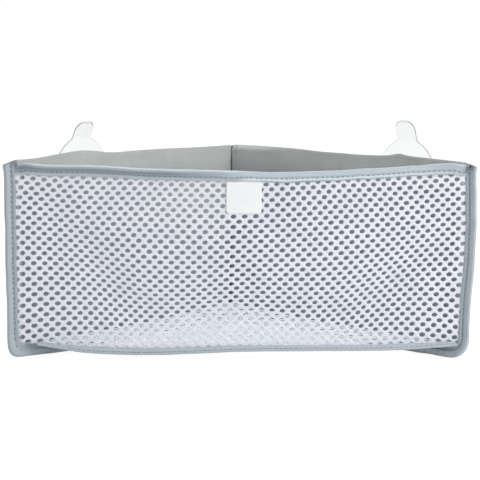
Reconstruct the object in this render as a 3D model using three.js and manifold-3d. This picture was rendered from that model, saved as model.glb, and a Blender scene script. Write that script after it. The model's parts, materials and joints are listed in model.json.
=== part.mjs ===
// Corner bath toy organizer: two soft grey walls that meet at a right angle, a white net front and
// floor, folded tape over every seam, a bare rubber label and two clear suction cups.
// Millimetres, +Z up. The front faces -Y and the back corner points to +Y.

import * as THREE from 'three';
import { mergeVertices } from 'three/addons/utils/BufferGeometryUtils.js';
import Module from 'manifold-3d';

const wasm = await Module();
wasm.setup();

// Walls
const wallLength = 294; // from a wall's back bend to its front bend
const wallHeight = 189; // a wall's top edge above the surface that the bag stands on
const wallThickness = 2;
const wallRise = 4; // how far the top edge is drawn up over the suction cup
const wallRiseReach = 45; // from the middle of that rise to its foot
const cornerHalfAngle = Math.PI / 4; // each wall's angle to the middle plane
const cornerRadius = 11.5; // the seam's turn at a wall's lower front corner

// Nets
const netThickness = 1;
const frontSag = 9; // how far the middle of the front's top edge hangs below its ends
const frontTopSetback = 5; // how far the front's middle lies behind its ends, at the top
const frontBelly = 6; // added to that half way down
const frontFootSetback = 7; // and at the foot
const footSeamEnd = 16; // height of the front's foot seam at its ends
const footSeamMiddle = 13; // and at its middle
const netCellWidth = 31; // the net's pattern, two holes to a cell
const netCellHeight = 28;
const netHoleWidth = 13;
const netHoleHeight = 10.5;
const netBorder = 6; // plain net between the holes and a seam

// Tape and thread
const tapeWidth = 10.5; // from the open edge to the fold
const tapePly = 0.7;
const foldChamfer = 1.1; // the fold's rounded edges, drawn flat
const foldClearance = 2; // between a sheet's edge and the inside of the fold
const seamTurn = 1.2; // from a sheet's bend to the tape's open edge
const threadWidth = 0.9;
const threadThickness = 0.5;
const threadInset = 3.4; // from the tape's open edge to the stitch row
const flangeAngleMiddle = THREE.MathUtils.degToRad(35); // the foot tape below level, at the middle
const flangeAngleEnd = THREE.MathUtils.degToRad(62); // and at the ends
const footEndInset = 8; // from the side seam to the foot tape's end
const backEndInset = 9; // from a wall's back bend to the end of the tape along its foot

// Label
const labelWidth = 32;
const labelHeight = 29.5;
const labelThickness = 1.6;
const labelTabThickness = 0.6; // where it is tucked into the tape
const labelTabInset = 2; // from the label's side to the tab's side
const labelOffset = 4; // to the right of the middle
const labelRadius = 2.5;
const labelDrop = 0.8; // from the tape's open edge down to the label's body
const labelStandoff = 0.4; // how much further the label's body stands off the net than its tab

// Suction cups and their eyelets
const leftCupFromFront = 91; // along the left wall, from its front bend
const rightCupFromFront = 75; // along the right wall
const cupHeight = 173.5;
const cupRadius = 34;
const cupDepth = 11.5; // from the shoulder on the eyelet to the sealing face
const cupHollow = 4.5;
const cupFlare = 1.5; // power of the dome's rise, 1 for a plain cone
const cupRimThickness = 0.8;
const sealWidth = 4; // the flat ring that meets the tiles
const shoulderRadius = 6.6;
const shoulderHeight = 2.6;
const studRadius = 3.3;
const headRadius = 5.2;
const headThickness = 2.3;
const headCrownRadius = 3; // the flat middle of the head's end
const tabWidth = 23;
const tabRadius = 9; // of the tab's upper corners
const tabHeight = 15.5; // beyond the cup's rim
const tabThickness = 2;
const tabLean = THREE.MathUtils.degToRad(20); // towards the bag
const tabRoot = 5; // how far the tab runs into the rim
const eyeletWall = 0.6;
const eyeletFlangeRadius = 6.4;
const eyeletFlangeThickness = 0.8;
const eyeletCurl = 0.9; // how far the barrel's end is rolled out over the washer
const eyeletMargin = 6; // the least wall between an eyelet's flange and the top edge over it

// Spaces that neighbours keep, and how finely curves are drawn
const gap = 0.3;
const acrossSteps = 20;
const frontRows = 5;
const cornerSteps = 7;
const turnSteps = 32;
const eyeletSteps = 20;
const domeSteps = 5;
const riseSteps = 8;
const roundSteps = 3;
const tabSteps = 5;
const holeSides = 6;
const mitreLimit = 0.7; // the least cosine that a bend's thickness is mitred for

// The slots inside the tapes, from the sheets that they hold
const sideSlot = wallThickness + netThickness + 3 * gap;
const footSlot = 2 * netThickness + 3 * gap;
const topSlot = netThickness + labelTabThickness + 3 * gap;
const backSlot = 2 * wallThickness + 3 * gap;
const seamLip = tapeWidth - tapePly - foldClearance;

// Where each sheet lies off the middle of its slot
const wallInSide = sideSlot / 2 - gap - wallThickness / 2;
const netInSide = sideSlot / 2 - gap - netThickness / 2;
const netInFoot = footSlot / 2 - gap - netThickness / 2;
const netInTop = topSlot / 2 - gap - netThickness / 2;
const wallInBack = backSlot / 2 - gap - wallThickness / 2;

// The right wall's plane: its run from the back bend to the front bend, and its inward side
const vec = (x, y, z) => new THREE.Vector3(x, y, z);
const up = vec(0, 0, 1);
const wallRun = vec(Math.sin(cornerHalfAngle), -Math.cos(cornerHalfAngle), 0);
const wallInward = vec(-Math.cos(cornerHalfAngle), -Math.sin(cornerHalfAngle), 0);
const backBend = vec(wallInBack, wallInSide + wallLength * Math.cos(cornerHalfAngle), 0);
const halfWidth = backBend.x + wallLength * wallRun.x + seamTurn; // to the side tape's open edge
const backSeamY = backBend.y + seamTurn; // the back tape's open edge
const netHalfWidth = halfWidth - seamTurn;
const footHalfWidth = halfWidth - footEndInset;
const wallFoot = tapeWidth + seamTurn;
const wallCornerRadius = cornerRadius - seamTurn;
const floorHeight = tapeWidth + gap + netThickness / 2;
const crestRise = Math.max(wallRise, cupHeight + eyeletFlangeRadius + eyeletMargin - wallHeight);

const materials = {
  foamCloth: { color: 0x9fa4a3, roughness: 0.95, metalness: 0 },
  net: { color: 0xe2e6ec, roughness: 0.85, metalness: 0 },
  tape: { color: 0xa3adb6, roughness: 0.6, metalness: 0 },
  thread: { color: 0x7f8992, roughness: 0.7, metalness: 0 },
  label: { color: 0xe6e9ec, roughness: 0.5, metalness: 0 },
  clearVinyl: { color: 0xf1f4f4, roughness: 0.15, metalness: 0 },
  eyelet: { color: 0xb9bec2, roughness: 0.4, metalness: 0 },
};

function piece(name, geometry, material) {
  const mesh = new THREE.Mesh(geometry, new THREE.MeshStandardMaterial(materials[material]));
  mesh.name = name;
  return mesh;
}

function geometryFrom(points, index) {
  const geometry = new THREE.BufferGeometry();
  const numbers = points.flatMap((p) => [p.x, p.y, p.z]);
  geometry.setAttribute('position', new THREE.Float32BufferAttribute(numbers, 3));
  geometry.setIndex(index);
  geometry.computeVertexNormals();
  return geometry;
}

// Triangles over a flat outline with holes, all wound counterclockwise.
function fillOutline(outline, holes) {
  const flat = [...outline, ...holes.flat()];
  return THREE.ShapeUtils.triangulateShape(outline, holes).map(([a, b, c]) => {
    const ab = flat[b].clone().sub(flat[a]);
    const ac = flat[c].clone().sub(flat[a]);
    return ab.cross(ac) > 0 ? [a, b, c] : [a, c, b];
  });
}

// A closed sheet between matching front and back points that share one set of triangles.
function closedSheet(front, back, triangles) {
  const count = front.length;
  const index = [];
  const edges = new Map();
  for (const [a, b, c] of triangles) {
    index.push(a, b, c, a + count, c + count, b + count);
    for (const edge of [[a, b], [b, c], [c, a]]) {
      edges.set(edge.join(), edge);
    }
  }
  for (const [m, n] of edges.values()) {
    if (!edges.has([n, m].join())) {
      index.push(n, m, m + count, n, m + count, n + count);
    }
  }
  return geometryFrom([...front, ...back], index);
}

// A middle surface given its thickness, half to each side, with mitred bends.
function thickened(points, triangles, thickness) {
  const faces = points.map(() => []);
  for (const triangle of triangles) {
    const [p, q, r] = triangle.map((i) => points[i]);
    const normal = q.clone().sub(p).cross(r.clone().sub(p)).normalize();
    triangle.forEach((corner, i) => {
      const toNext = points[triangle[(i + 1) % 3]].clone().sub(points[corner]);
      const toLast = points[triangle[(i + 2) % 3]].clone().sub(points[corner]);
      faces[corner].push({ normal, angle: toNext.angleTo(toLast) });
    });
  }
  const offsets = faces.map((around) => {
    const mean = vec(0, 0, 0);
    around.forEach(({ normal, angle }) => mean.addScaledVector(normal, angle));
    mean.normalize();
    const least = Math.min(...around.map(({ normal }) => normal.dot(mean)));
    return mean.multiplyScalar(thickness / 2 / Math.max(least, mitreLimit));
  });
  const front = points.map((p, i) => p.clone().add(offsets[i]));
  const back = points.map((p, i) => p.clone().sub(offsets[i]));
  return closedSheet(front, back, triangles);
}

// Adds a strip of seam allowance along neighbouring outline points, out to the given ends.
function addLip(points, triangles, along, ends) {
  const first = points.length;
  points.push(...ends);
  for (let k = 0; k + 1 < along.length; k += 1) {
    triangles.push([along[k + 1], along[k], first + k], [along[k + 1], first + k, first + k + 1]);
  }
}

// A flat section carried along stations, each with an origin and the section's two directions.
// Each face is split from its inner near corner to its outer far one, so that neighbours twist alike.
function swept(section, places) {
  const travel = places[1].origin.clone().sub(places[0].origin);
  const facing = places[0].out.clone().cross(places[0].side);
  const stations = travel.dot(facing) > 0 ? places : [...places].reverse();
  const size = section.length;
  const points = stations.flatMap(({ origin, out, side }) => section.map((p) => (
    origin.clone().addScaledVector(out, p.x).addScaledVector(side, p.y))));
  const index = [];
  for (let k = 0; k + 1 < stations.length; k += 1) {
    for (let i = 0; i < size; i += 1) {
      const j = (i + 1) % size;
      const a = k * size + i;
      const b = k * size + j;
      if (section[i].x <= section[j].x) {
        index.push(a, b, b + size, a, b + size, a + size);
      } else {
        index.push(a, b, a + size, b, b + size, a + size);
      }
    }
  }
  const last = (stations.length - 1) * size;
  for (const [a, b, c] of fillOutline(section, [])) {
    index.push(a, c, b, a + last, b + last, c + last);
  }
  return geometryFrom(points, index);
}

// The folded tape's section: two plies round a slot, joined at the fold.
function tapeSection(slot) {
  const outer = slot / 2 + tapePly;
  const inner = slot / 2;
  const fold = tapeWidth;
  const foldInside = tapeWidth - tapePly;
  return [
    [0, -outer], [fold - foldChamfer, -outer], [fold, foldChamfer - outer], [fold, outer - foldChamfer],
    [fold - foldChamfer, outer], [0, outer],
    [0, inner], [foldInside, inner], [foldInside, -inner], [0, -inner],
  ].map(([x, y]) => new THREE.Vector2(x, y));
}

// The stitch row's section, lying on the outside of the ply on the given side of the tape.
function threadSection(slot) {
  const near = slot / 2 + tapePly + gap;
  const far = near + threadThickness;
  const start = threadInset - threadWidth / 2;
  const end = threadInset + threadWidth / 2;
  return [[start, near], [end, near], [end, far], [start, far]].map(([x, y]) => new THREE.Vector2(x, y));
}

function tapeAndThread(name, slot, stations) {
  return [
    piece(`${name}_binding`, swept(tapeSection(slot), stations), 'tape'),
    piece(`${name}_thread`, swept(threadSection(slot), stations), 'thread'),
  ];
}

function solidFrom(geometry) {
  geometry.deleteAttribute('normal');
  const merged = mergeVertices(geometry);
  return new wasm.Manifold(new wasm.Mesh({
    numProp: 3,
    vertProperties: new Float32Array(merged.attributes.position.array),
    triVerts: new Uint32Array(merged.index.array),
  }));
}

function geometryOf(solid) {
  const mesh = solid.getMesh();
  const geometry = new THREE.BufferGeometry();
  geometry.setAttribute('position', new THREE.BufferAttribute(new Float32Array(mesh.vertProperties), 3));
  geometry.setIndex(new THREE.BufferAttribute(new Uint32Array(mesh.triVerts), 1));
  geometry.computeVertexNormals();
  return geometry;
}

// Evenly spaced numbers from first to last
function spread(first, last, steps) {
  return Array.from({ length: steps + 1 }, (_, k) => first + ((last - first) * k) / steps);
}

// Evenly spaced angles round a full turn
function roundAngles(steps) {
  return spread(0, 2 * Math.PI, steps).slice(0, steps);
}

// Places across the front, closer together towards the ends, where the seams turn most
function acrossPlaces(half) {
  return spread(-1, 1, acrossSteps).map((t) => half * Math.sin((t * Math.PI) / 2));
}

// The front's shape: how far its fold hangs, where its foot seam runs and how far it lies back
const towardsMiddle = (x) => 1 - (x / halfWidth) ** 2;
const frontFold = (x) => wallHeight - frontSag * towardsMiddle(x);
const frontOpenEdge = (x) => frontFold(x) - tapeWidth;
const footSeam = (x) => footSeamMiddle + (footSeamEnd - footSeamMiddle) * (x / footHalfWidth) ** 4;

function frontDepth(x, z) {
  const v = (z - footSeam(x)) / (frontOpenEdge(x) - footSeam(x));
  const setback = frontTopSetback * v + frontFootSetback * (1 - v) + 4 * frontBelly * v * (1 - v);
  return setback * towardsMiddle(x) - netInSide;
}

const frontPoint = (x, z) => vec(x, frontDepth(x, z), z);
const frontTopPoint = (x) => frontPoint(x, frontOpenEdge(x) - seamTurn);

function hole(x, y) {
  return roundAngles(holeSides).map((angle) => new THREE.Vector2(
    x + (netHoleWidth / 2) * Math.cos(angle), y + (netHoleHeight / 2) * Math.sin(angle)));
}

// Holes of the net's staggered pattern that lie wholly inside an outline.
function netHoles(halfSpan, low, high, inside) {
  const columns = Math.ceil((2 * halfSpan) / netCellWidth);
  const rows = Math.ceil((2 * (high - low)) / netCellHeight);
  const holes = [];
  for (let row = 0; row <= rows; row += 1) {
    const y = low + (row * netCellHeight) / 2;
    for (let column = -columns; column <= columns; column += 1) {
      const x = (column + (row % 2) / 2) * netCellWidth;
      const outline = hole(x, y);
      if (outline.every(inside)) {
        holes.push(outline);
      }
    }
  }
  return holes;
}

// A net with six-sided holes, cut by prisms that reach to both sides of the place they stand in.
function pierced(sheet, holes, stand, reach) {
  const cut = (solid, outline) => {
    const options = { depth: 2 * reach, bevelEnabled: false };
    const prism = new THREE.ExtrudeGeometry(new THREE.Shape(outline), options);
    prism.deleteAttribute('normal');
    prism.deleteAttribute('uv');
    prism.translate(0, 0, -reach);
    return solid.subtract(solidFrom(stand(prism)));
  };
  return geometryOf(holes.reduce(cut, solidFrom(sheet)));
}

// The side seam of the right wall, from its top down the front bend, round the lower corner and
// back along the foot. Each place has the wall's own edge, and the tape's outward and net sides.
function sideSeam() {
  const place = (along, z, outward, travel) => {
    const edge = backBend.clone().addScaledVector(wallRun, along).setZ(z);
    const side = travel.clone().cross(outward).normalize();
    return { edge, outward, side };
  };
  const frontward = vec(1, 0, 0);
  const bend = cornerHalfAngle - Math.PI / 2; // from the front lip's direction to the wall's run
  const seam = [place(wallLength, wallHeight, frontward, vec(0, 0, -1))];
  for (const turn of spread(0, Math.PI / 2, cornerSteps)) {
    const level = frontward.clone().applyAxisAngle(up, bend * (turn / (Math.PI / 2)));
    const outward = level.multiplyScalar(Math.cos(turn)).addScaledVector(up, -Math.sin(turn));
    const travel = wallRun.clone().multiplyScalar(-Math.sin(turn)).addScaledVector(up, -Math.cos(turn));
    const along = wallLength - wallCornerRadius * (1 - Math.cos(turn));
    const z = wallFoot + wallCornerRadius * (1 - Math.sin(turn));
    seam.push(place(along, z, outward, travel));
  }
  seam.push(place(backEndInset, wallFoot, vec(0, 0, -1), wallRun.clone().negate()));
  return seam;
}

function wallTop(fromCup) {
  const t = Math.min(1, Math.abs(fromCup) / wallRiseReach);
  return wallHeight + (crestRise * (1 + Math.cos(Math.PI * t))) / 2;
}

// One wall: a flat sheet with its drawn-up top edge, an eyelet hole and lips into its tapes.
function wallGeometry(seam, cupAlong) {
  const flat = (along, z) => new THREE.Vector2(along, z);
  const seamFlat = seam.map(({ edge }) => flat(edge.clone().sub(backBend).dot(wallRun), edge.z)).reverse();
  const crest = spread(wallRiseReach, -wallRiseReach, riseSteps).map((fromCup) => (
    flat(cupAlong + fromCup, wallTop(fromCup))));
  const outline = [...seamFlat, ...crest, flat(0, wallHeight), flat(0, wallFoot + backEndInset)];
  const holeRadius = studRadius + gap + eyeletWall + gap;
  const rim = roundAngles(eyeletSteps).map((angle) => flat(
    cupAlong + holeRadius * Math.cos(angle), cupHeight + holeRadius * Math.sin(angle)));
  const triangles = fillOutline(outline, [rim]);
  const points = [...outline, ...rim].map((p) => backBend.clone().addScaledVector(wallRun, p.x).setZ(p.y));
  const seamEnds = [...seam].reverse().map(({ edge, outward }) => (
    edge.clone().addScaledVector(outward, seamTurn + seamLip)));
  addLip(points, triangles, seam.map((_, k) => k), seamEnds);
  const backEdge = [outline.length - 2, outline.length - 1];
  const backEnds = backEdge.map((k) => points[k].clone().add(vec(0, seamTurn + seamLip, 0)));
  addLip(points, triangles, backEdge, backEnds);
  return thickened(points, triangles, wallThickness);
}

function sideTapeStations(seam) {
  return seam.map(({ edge, outward, side }) => ({
    origin: edge.clone().addScaledVector(outward, seamTurn).addScaledVector(side, wallInSide),
    out: outward,
    side,
  }));
}

// The foot tape turns from steep at its ends to pointing more forward at the middle.
function footStations() {
  return acrossPlaces(footHalfWidth).map((x) => {
    const angle = flangeAngleMiddle + (flangeAngleEnd - flangeAngleMiddle) * (x / footHalfWidth) ** 2;
    const out = vec(0, -Math.cos(angle), -Math.sin(angle));
    const side = vec(0, -Math.sin(angle), Math.cos(angle));
    const origin = frontPoint(x, footSeam(x));
    origin.addScaledVector(out, seamTurn).addScaledVector(side, -netInFoot);
    return { origin, out, side };
  });
}

// The top tape ends where the walls' inner faces come up to its back.
function topStations() {
  const tapeBack = topSlot / 2 + tapePly - netInTop - netInSide;
  const wallFace = wallInSide - wallThickness / 2 / Math.sin(cornerHalfAngle);
  const half = netHalfWidth - (tapeBack + gap - wallFace) * Math.tan(cornerHalfAngle);
  return acrossPlaces(half).map((x) => ({
    origin: frontTopPoint(x).setZ(frontOpenEdge(x)).add(vec(0, -netInTop, 0)),
    out: up,
    side: vec(0, -1, 0),
  }));
}

function backStations() {
  return [0, wallHeight].map((z) => ({
    origin: vec(0, backSeamY, z),
    out: vec(0, 1, 0),
    side: vec(1, 0, 0),
  }));
}

// The front net hangs between the side seams, with lips into the top, side and foot tapes.
function frontNetGeometry(foot) {
  const sideLow = wallFoot + wallCornerRadius + seamTurn;
  const columns = acrossPlaces(1);
  const footRow = columns.map((t) => frontPoint(footHalfWidth * t, footSeam(footHalfWidth * t)));
  const rows = spread(0, 1, frontRows).map((v) => columns.map((t) => {
    const x = netHalfWidth * t;
    return frontPoint(x, sideLow + (frontOpenEdge(x) - seamTurn - sideLow) * v);
  }));
  const grid = [footRow, ...rows];
  const width = columns.length;
  const points = grid.flat();
  const triangles = [];
  for (let j = 0; j + 1 < grid.length; j += 1) {
    for (let i = 0; i + 1 < width; i += 1) {
      const a = j * width + i;
      triangles.push([a, a + 1, a + width + 1], [a, a + width + 1, a + width]);
    }
  }
  const lip = seamTurn + seamLip;
  const lipTo = (along, direction) => addLip(points, triangles, along, along.map((k) => (
    points[k].clone().addScaledVector(direction(k), lip))));
  const edge = (first, step, count) => Array.from({ length: count }, (_, k) => first + step * k);
  const topFirst = (grid.length - 1) * width;
  lipTo(edge(0, 1, width), (k) => foot[k].out);
  lipTo(edge(topFirst + width - 1, -1, width), () => up);
  lipTo(edge(2 * width - 1, width, rows.length), () => vec(1, 0, 0));
  lipTo(edge(topFirst, -width, rows.length), () => vec(-1, 0, 0));

  const inside = (p) => Math.abs(p.x) < footHalfWidth - netBorder
    && p.y > footSeam(p.x) + netBorder && p.y < frontOpenEdge(p.x) - seamTurn - netBorder;
  const holes = netHoles(halfWidth, footSeamEnd + netBorder + netHoleHeight / 2, wallHeight, inside);
  const reach = frontTopSetback + frontBelly + frontFootSetback + tapeWidth;
  const facingFront = (prism) => prism.rotateX(Math.PI / 2);
  return pierced(thickened(points, triangles, netThickness), holes, facingFront, reach);
}

// The floor net lies over the tape along each wall's foot, with lips down into it and into the foot tape.
function floorNetGeometry(foot, seam) {
  const inset = wallInSide + netInSide;
  const wallEdge = [seam.at(-2), seam.at(-1)].map(({ edge }) => (
    edge.clone().addScaledVector(wallInward, inset).setZ(floorHeight)));
  wallEdge[0].addScaledVector(wallRun, -footEndInset);
  const mirrored = wallEdge.map((p) => vec(-p.x, p.y, p.z)).reverse();
  const frontEdge = foot.map(({ origin, out, side }) => (
    origin.clone().addScaledVector(out, -seamTurn).addScaledVector(side, -netInFoot)));
  const points = [...frontEdge, ...wallEdge, ...mirrored];
  const triangles = fillOutline(points.map((p) => new THREE.Vector2(p.x, p.y)), []);
  const lip = seamTurn + seamLip;
  addLip(points, triangles, foot.map((_, k) => k), foot.map(({ out }, k) => (
    frontEdge[k].clone().addScaledVector(out, lip))));
  for (const start of [foot.length, foot.length + wallEdge.length]) {
    const along = [start, start + 1];
    addLip(points, triangles, along, along.map((k) => points[k].clone().setZ(tapeWidth - seamLip)));
  }

  const frontLimit = frontFootSetback + netBorder;
  const fromWall = (p) => vec(Math.abs(p.x), p.y, 0).sub(backBend).dot(wallInward);
  const inside = (p) => p.y > frontLimit && fromWall(p) > inset + netBorder;
  const holes = netHoles(halfWidth, frontLimit + netHoleHeight / 2, backSeamY, inside);
  const upright = (prism) => prism;
  return pierced(thickened(points, triangles, netThickness), holes, upright, footSeamEnd + tapeWidth);
}

// The label follows the front net, and its thin tab is tucked into the top tape before the net.
function labelGeometry() {
  const top = frontOpenEdge(labelOffset) - labelDrop;
  const left = labelOffset - labelWidth / 2;
  const right = labelOffset + labelWidth / 2;
  const low = top - labelHeight;
  const corner = (x, from) => spread(from, from + Math.PI / 2, roundSteps).map((angle) => new THREE.Vector2(
    x + labelRadius * Math.cos(angle), low + labelRadius + labelRadius * Math.sin(angle)));
  const outline = [
    ...corner(left + labelRadius, Math.PI), ...corner(right - labelRadius, -Math.PI / 2),
    new THREE.Vector2(right, top), new THREE.Vector2(left, top),
  ];
  const triangles = fillOutline(outline, []);
  const netDepth = (x, z) => frontDepth(x, Math.min(z, frontOpenEdge(x) - seamTurn));
  const backDepth = (x, z) => netDepth(x, z) - netThickness / 2 - gap;
  const back = outline.map((p) => vec(p.x, backDepth(p.x, p.y) - labelStandoff, p.y));
  const front = back.map((p) => p.clone().add(vec(0, -labelThickness, 0)));
  let along = [outline.length - 2, outline.length - 1];
  for (const z of [top + gap, top + labelDrop + seamLip]) {
    const ends = [right - labelTabInset, left + labelTabInset].map((x) => vec(x, backDepth(x, z), z));
    const first = front.length;
    addLip(back, triangles, along, ends);
    front.push(...ends.map((p) => p.clone().add(vec(0, -labelTabThickness, 0))));
    along = [first, first + 1];
  }
  return closedSheet(front, back, triangles);
}

// A turned piece from its outline as radius and height, with the height along +Z.
function turned(profile, steps) {
  const lathe = new THREE.LatheGeometry(profile.map(([r, w]) => new THREE.Vector2(r, w)), steps);
  lathe.deleteAttribute('normal');
  lathe.deleteAttribute('uv');
  lathe.rotateX(Math.PI / 2);
  return mergeVertices(lathe);
}

// Heights of the stack that a cup's stud passes through, out from the middle of the wall
const flangeNear = wallThickness / 2 + gap;
const flangeFar = flangeNear + eyeletFlangeThickness;
const washerFar = flangeFar + gap;
const curlFar = washerFar + eyeletFlangeThickness;
const shoulder = flangeFar + gap;
const sealFace = shoulder + cupDepth;
const boreRadius = studRadius + gap;
const barrelRadius = boreRadius + eyeletWall;

function eyeletGeometry() {
  const curlRadius = barrelRadius + eyeletCurl;
  return turned([
    [boreRadius, -curlFar], [curlRadius, -curlFar], [curlRadius, -washerFar], [barrelRadius, -washerFar],
    [barrelRadius, flangeNear], [eyeletFlangeRadius, flangeNear], [eyeletFlangeRadius, flangeFar],
    [boreRadius, flangeFar], [boreRadius, -curlFar],
  ], eyeletSteps);
}

function washerGeometry() {
  const inner = barrelRadius + gap;
  return turned([
    [inner, -flangeFar], [eyeletFlangeRadius, -flangeFar], [eyeletFlangeRadius, -flangeNear],
    [inner, -flangeNear], [inner, -flangeFar],
  ], eyeletSteps);
}

// The cup: a headed stud, a shoulder, a flaring dome with a flat sealing ring, and a hollow face.
function cupDiscGeometry() {
  const headNear = curlFar + gap;
  const headFar = headNear + headThickness;
  const domeStart = shoulder + shoulderHeight;
  const rimBack = sealFace - cupRimThickness;
  const sealInner = cupRadius - sealWidth;
  const dome = spread(0, 1, domeSteps).map((t) => [
    shoulderRadius + (cupRadius - shoulderRadius) * t, domeStart + (rimBack - domeStart) * t ** cupFlare,
  ]);
  const hollow = spread(1, 0, domeSteps).map((t) => [sealInner * t, sealFace - cupHollow * (1 - t * t)]);
  return turned([
    [0, -headFar], [headCrownRadius, -headFar], [headRadius, -headNear - headThickness / 2],
    [headRadius, -headNear], [studRadius, -headNear], [studRadius, shoulder], [shoulderRadius, shoulder],
    ...dome, [cupRadius, sealFace], ...hollow,
  ], turnSteps);
}

// The pull tab: a round-topped tongue that leaves the rim and leans towards the bag.
function pullTabGeometry() {
  const half = tabWidth / 2;
  const length = tabRoot + tabHeight;
  const shape = new THREE.Shape();
  shape.moveTo(-half, 0);
  shape.lineTo(half, 0);
  shape.lineTo(half, length - tabRadius);
  shape.absarc(half - tabRadius, length - tabRadius, tabRadius, 0, Math.PI / 2, false);
  shape.absarc(tabRadius - half, length - tabRadius, tabRadius, Math.PI / 2, Math.PI, false);
  shape.closePath();
  const options = { depth: tabThickness, bevelEnabled: false, curveSegments: tabSteps };
  const tongue = new THREE.ExtrudeGeometry(shape, options);
  tongue.deleteAttribute('normal');
  tongue.deleteAttribute('uv');
  tongue.rotateX(-tabLean);
  tongue.translate(0, cupRadius - tabRoot, sealFace - cupRimThickness - tabThickness * Math.cos(tabLean));
  return tongue;
}

function cupGeometry() {
  return geometryOf(solidFrom(cupDiscGeometry()).add(solidFrom(pullTabGeometry())));
}

// A frame on the wall's middle surface at the cup: +Z out of the bag, +Y up
function cupFrame(cupAlong, contents) {
  const outward = wallInward.clone().negate();
  const frame = new THREE.Group();
  frame.position.copy(backBend).addScaledVector(wallRun, cupAlong).setZ(cupHeight);
  const turn = new THREE.Matrix4().makeBasis(up.clone().cross(outward), up, outward);
  frame.quaternion.setFromRotationMatrix(turn);
  frame.add(...contents);
  return frame;
}

// One side's pieces, made for the right and mirrored for the left
function sidePieces(name, seam, cupFromFront) {
  const cupAlong = wallLength - cupFromFront;
  const side = new THREE.Group();
  side.add(
    piece(`${name}_wall`, wallGeometry(seam, cupAlong), 'foamCloth'),
    ...tapeAndThread(`${name}_edge`, sideSlot, sideTapeStations(seam)),
    cupFrame(cupAlong, [
      piece(`${name}_eyelet`, eyeletGeometry(), 'eyelet'),
      piece(`${name}_eyelet_washer`, washerGeometry(), 'eyelet'),
      piece(`${name}_suction_cup`, cupGeometry(), 'clearVinyl'),
    ]),
  );
  return side;
}

const organizer = new THREE.Group();
const seam = sideSeam();
const foot = footStations();
const left = sidePieces('left', seam, leftCupFromFront);
left.scale.x = -1;
organizer.add(
  piece('front_mesh', frontNetGeometry(foot), 'net'),
  piece('bottom_mesh', floorNetGeometry(foot, seam), 'net'),
  left,
  sidePieces('right', seam, rightCupFromFront),
  ...tapeAndThread('top', topSlot, topStations()),
  ...tapeAndThread('front_bottom', footSlot, footStations()),
  ...tapeAndThread('back_seam', backSlot, backStations()),
  piece('label_patch', labelGeometry(), 'label'),
);

// The origin is under the middle of the whole bag
const middle = new THREE.Box3().setFromObject(organizer, true).getCenter(vec(0, 0, 0));
organizer.position.y = -middle.y;

export default organizer;
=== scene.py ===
import json
from functools import partial
import bpy
import numpy as np
from numpy import arange, array, clip, concatenate, cos, exp, hypot, interp, linspace, maximum, minimum
from numpy import pi, radians, sin, sqrt, stack, where
from mathutils import Matrix, Vector


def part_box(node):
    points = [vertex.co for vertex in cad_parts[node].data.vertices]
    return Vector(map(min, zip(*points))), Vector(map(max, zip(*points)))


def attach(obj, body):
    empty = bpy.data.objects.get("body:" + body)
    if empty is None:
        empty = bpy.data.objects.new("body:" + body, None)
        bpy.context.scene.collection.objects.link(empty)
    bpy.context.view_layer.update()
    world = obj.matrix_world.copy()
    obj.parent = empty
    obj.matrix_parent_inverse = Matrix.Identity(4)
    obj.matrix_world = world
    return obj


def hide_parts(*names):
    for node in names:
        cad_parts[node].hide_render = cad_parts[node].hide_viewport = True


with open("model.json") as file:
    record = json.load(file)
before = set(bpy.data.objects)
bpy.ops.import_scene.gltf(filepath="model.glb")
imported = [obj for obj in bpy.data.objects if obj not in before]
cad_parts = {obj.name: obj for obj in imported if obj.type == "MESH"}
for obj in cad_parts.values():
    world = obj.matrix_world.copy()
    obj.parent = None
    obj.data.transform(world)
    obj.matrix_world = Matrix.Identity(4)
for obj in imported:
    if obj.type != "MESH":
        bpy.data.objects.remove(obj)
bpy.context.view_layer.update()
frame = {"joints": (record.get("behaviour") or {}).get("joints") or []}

mm = 0.001
sides = {"left": -1, "right": 1}


def edge(node, end, axis):
    # one side of a node's box in mm: end 0 is the low corner, 1 the high one
    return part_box(node)[end][axis] / mm


# What several pieces share, in mm. Points below are in mm, with y = 0 at the middle of the side seams.
seam = dict(
    tapeWidth=10.5,  # folded
    ply=0.8,
    turn=1.2,  # from a sheet's bend to the tape's open edge
    stitchInset=3.4,  # from the open edge
    stitchPitch=4.8,
    wallInSide=0.65,  # the wall's place off the middle of the side tape
    wallInBack=1.15,
    netInSide=0.95,
    netInFoot=0.5,
    netInTop=0.45,
    square=dict(left=4.5, right=2.3),  # power of the lower corners: 2 is a circle, more is squarer
    backShift=-1.5,  # how far the back seam stands to the side
)
halfWidth = edge("right_edge_binding", 1, 0) - seam["tapeWidth"]
wallHeight = edge("back_seam_binding", 1, 2)
backSeamY = halfWidth - seam["wallInBack"] + seam["wallInSide"]
frontY = edge("back_seam_binding", 1, 1) - seam["tapeWidth"] - backSeamY
run = array([sqrt(0.5), -sqrt(0.5), 0.0])  # along the right wall, back to front
up = array([0.0, 0.0, 1.0])
backBend = array([seam["wallInBack"], backSeamY - seam["turn"], 0.0])
wallLength = (halfWidth - seam["turn"] - seam["wallInBack"]) / run[0]
cupJoints = {joint["child"]: joint for joint in frame["joints"]}


def linear(colour):
    # sRGB hex to linear: a straight part near black, then a power of 2.4
    c = array([int(colour[i:i + 2], 16) for i in (1, 3, 5)]) / 255
    return (*where(c <= 0.04045, c / 12.92, ((c + 0.055) / 1.055) ** 2.4), 1.0)


def addNode(tree, kind, inputs=None, **settings):
    # a node with its settings; an input takes a value, an output, or a node for its first output in use
    node = tree.nodes.new("ShaderNode" + kind)
    for name, value in settings.items():
        setattr(node, name, value)
    for name, value in (inputs or {}).items():
        if isinstance(value, bpy.types.Node):
            value = next(output for output in value.outputs if output.enabled)
        if isinstance(value, bpy.types.NodeSocket):
            tree.links.new(value, node.inputs[name])
        else:
            node.inputs[name].default_value = value
    return node


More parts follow.
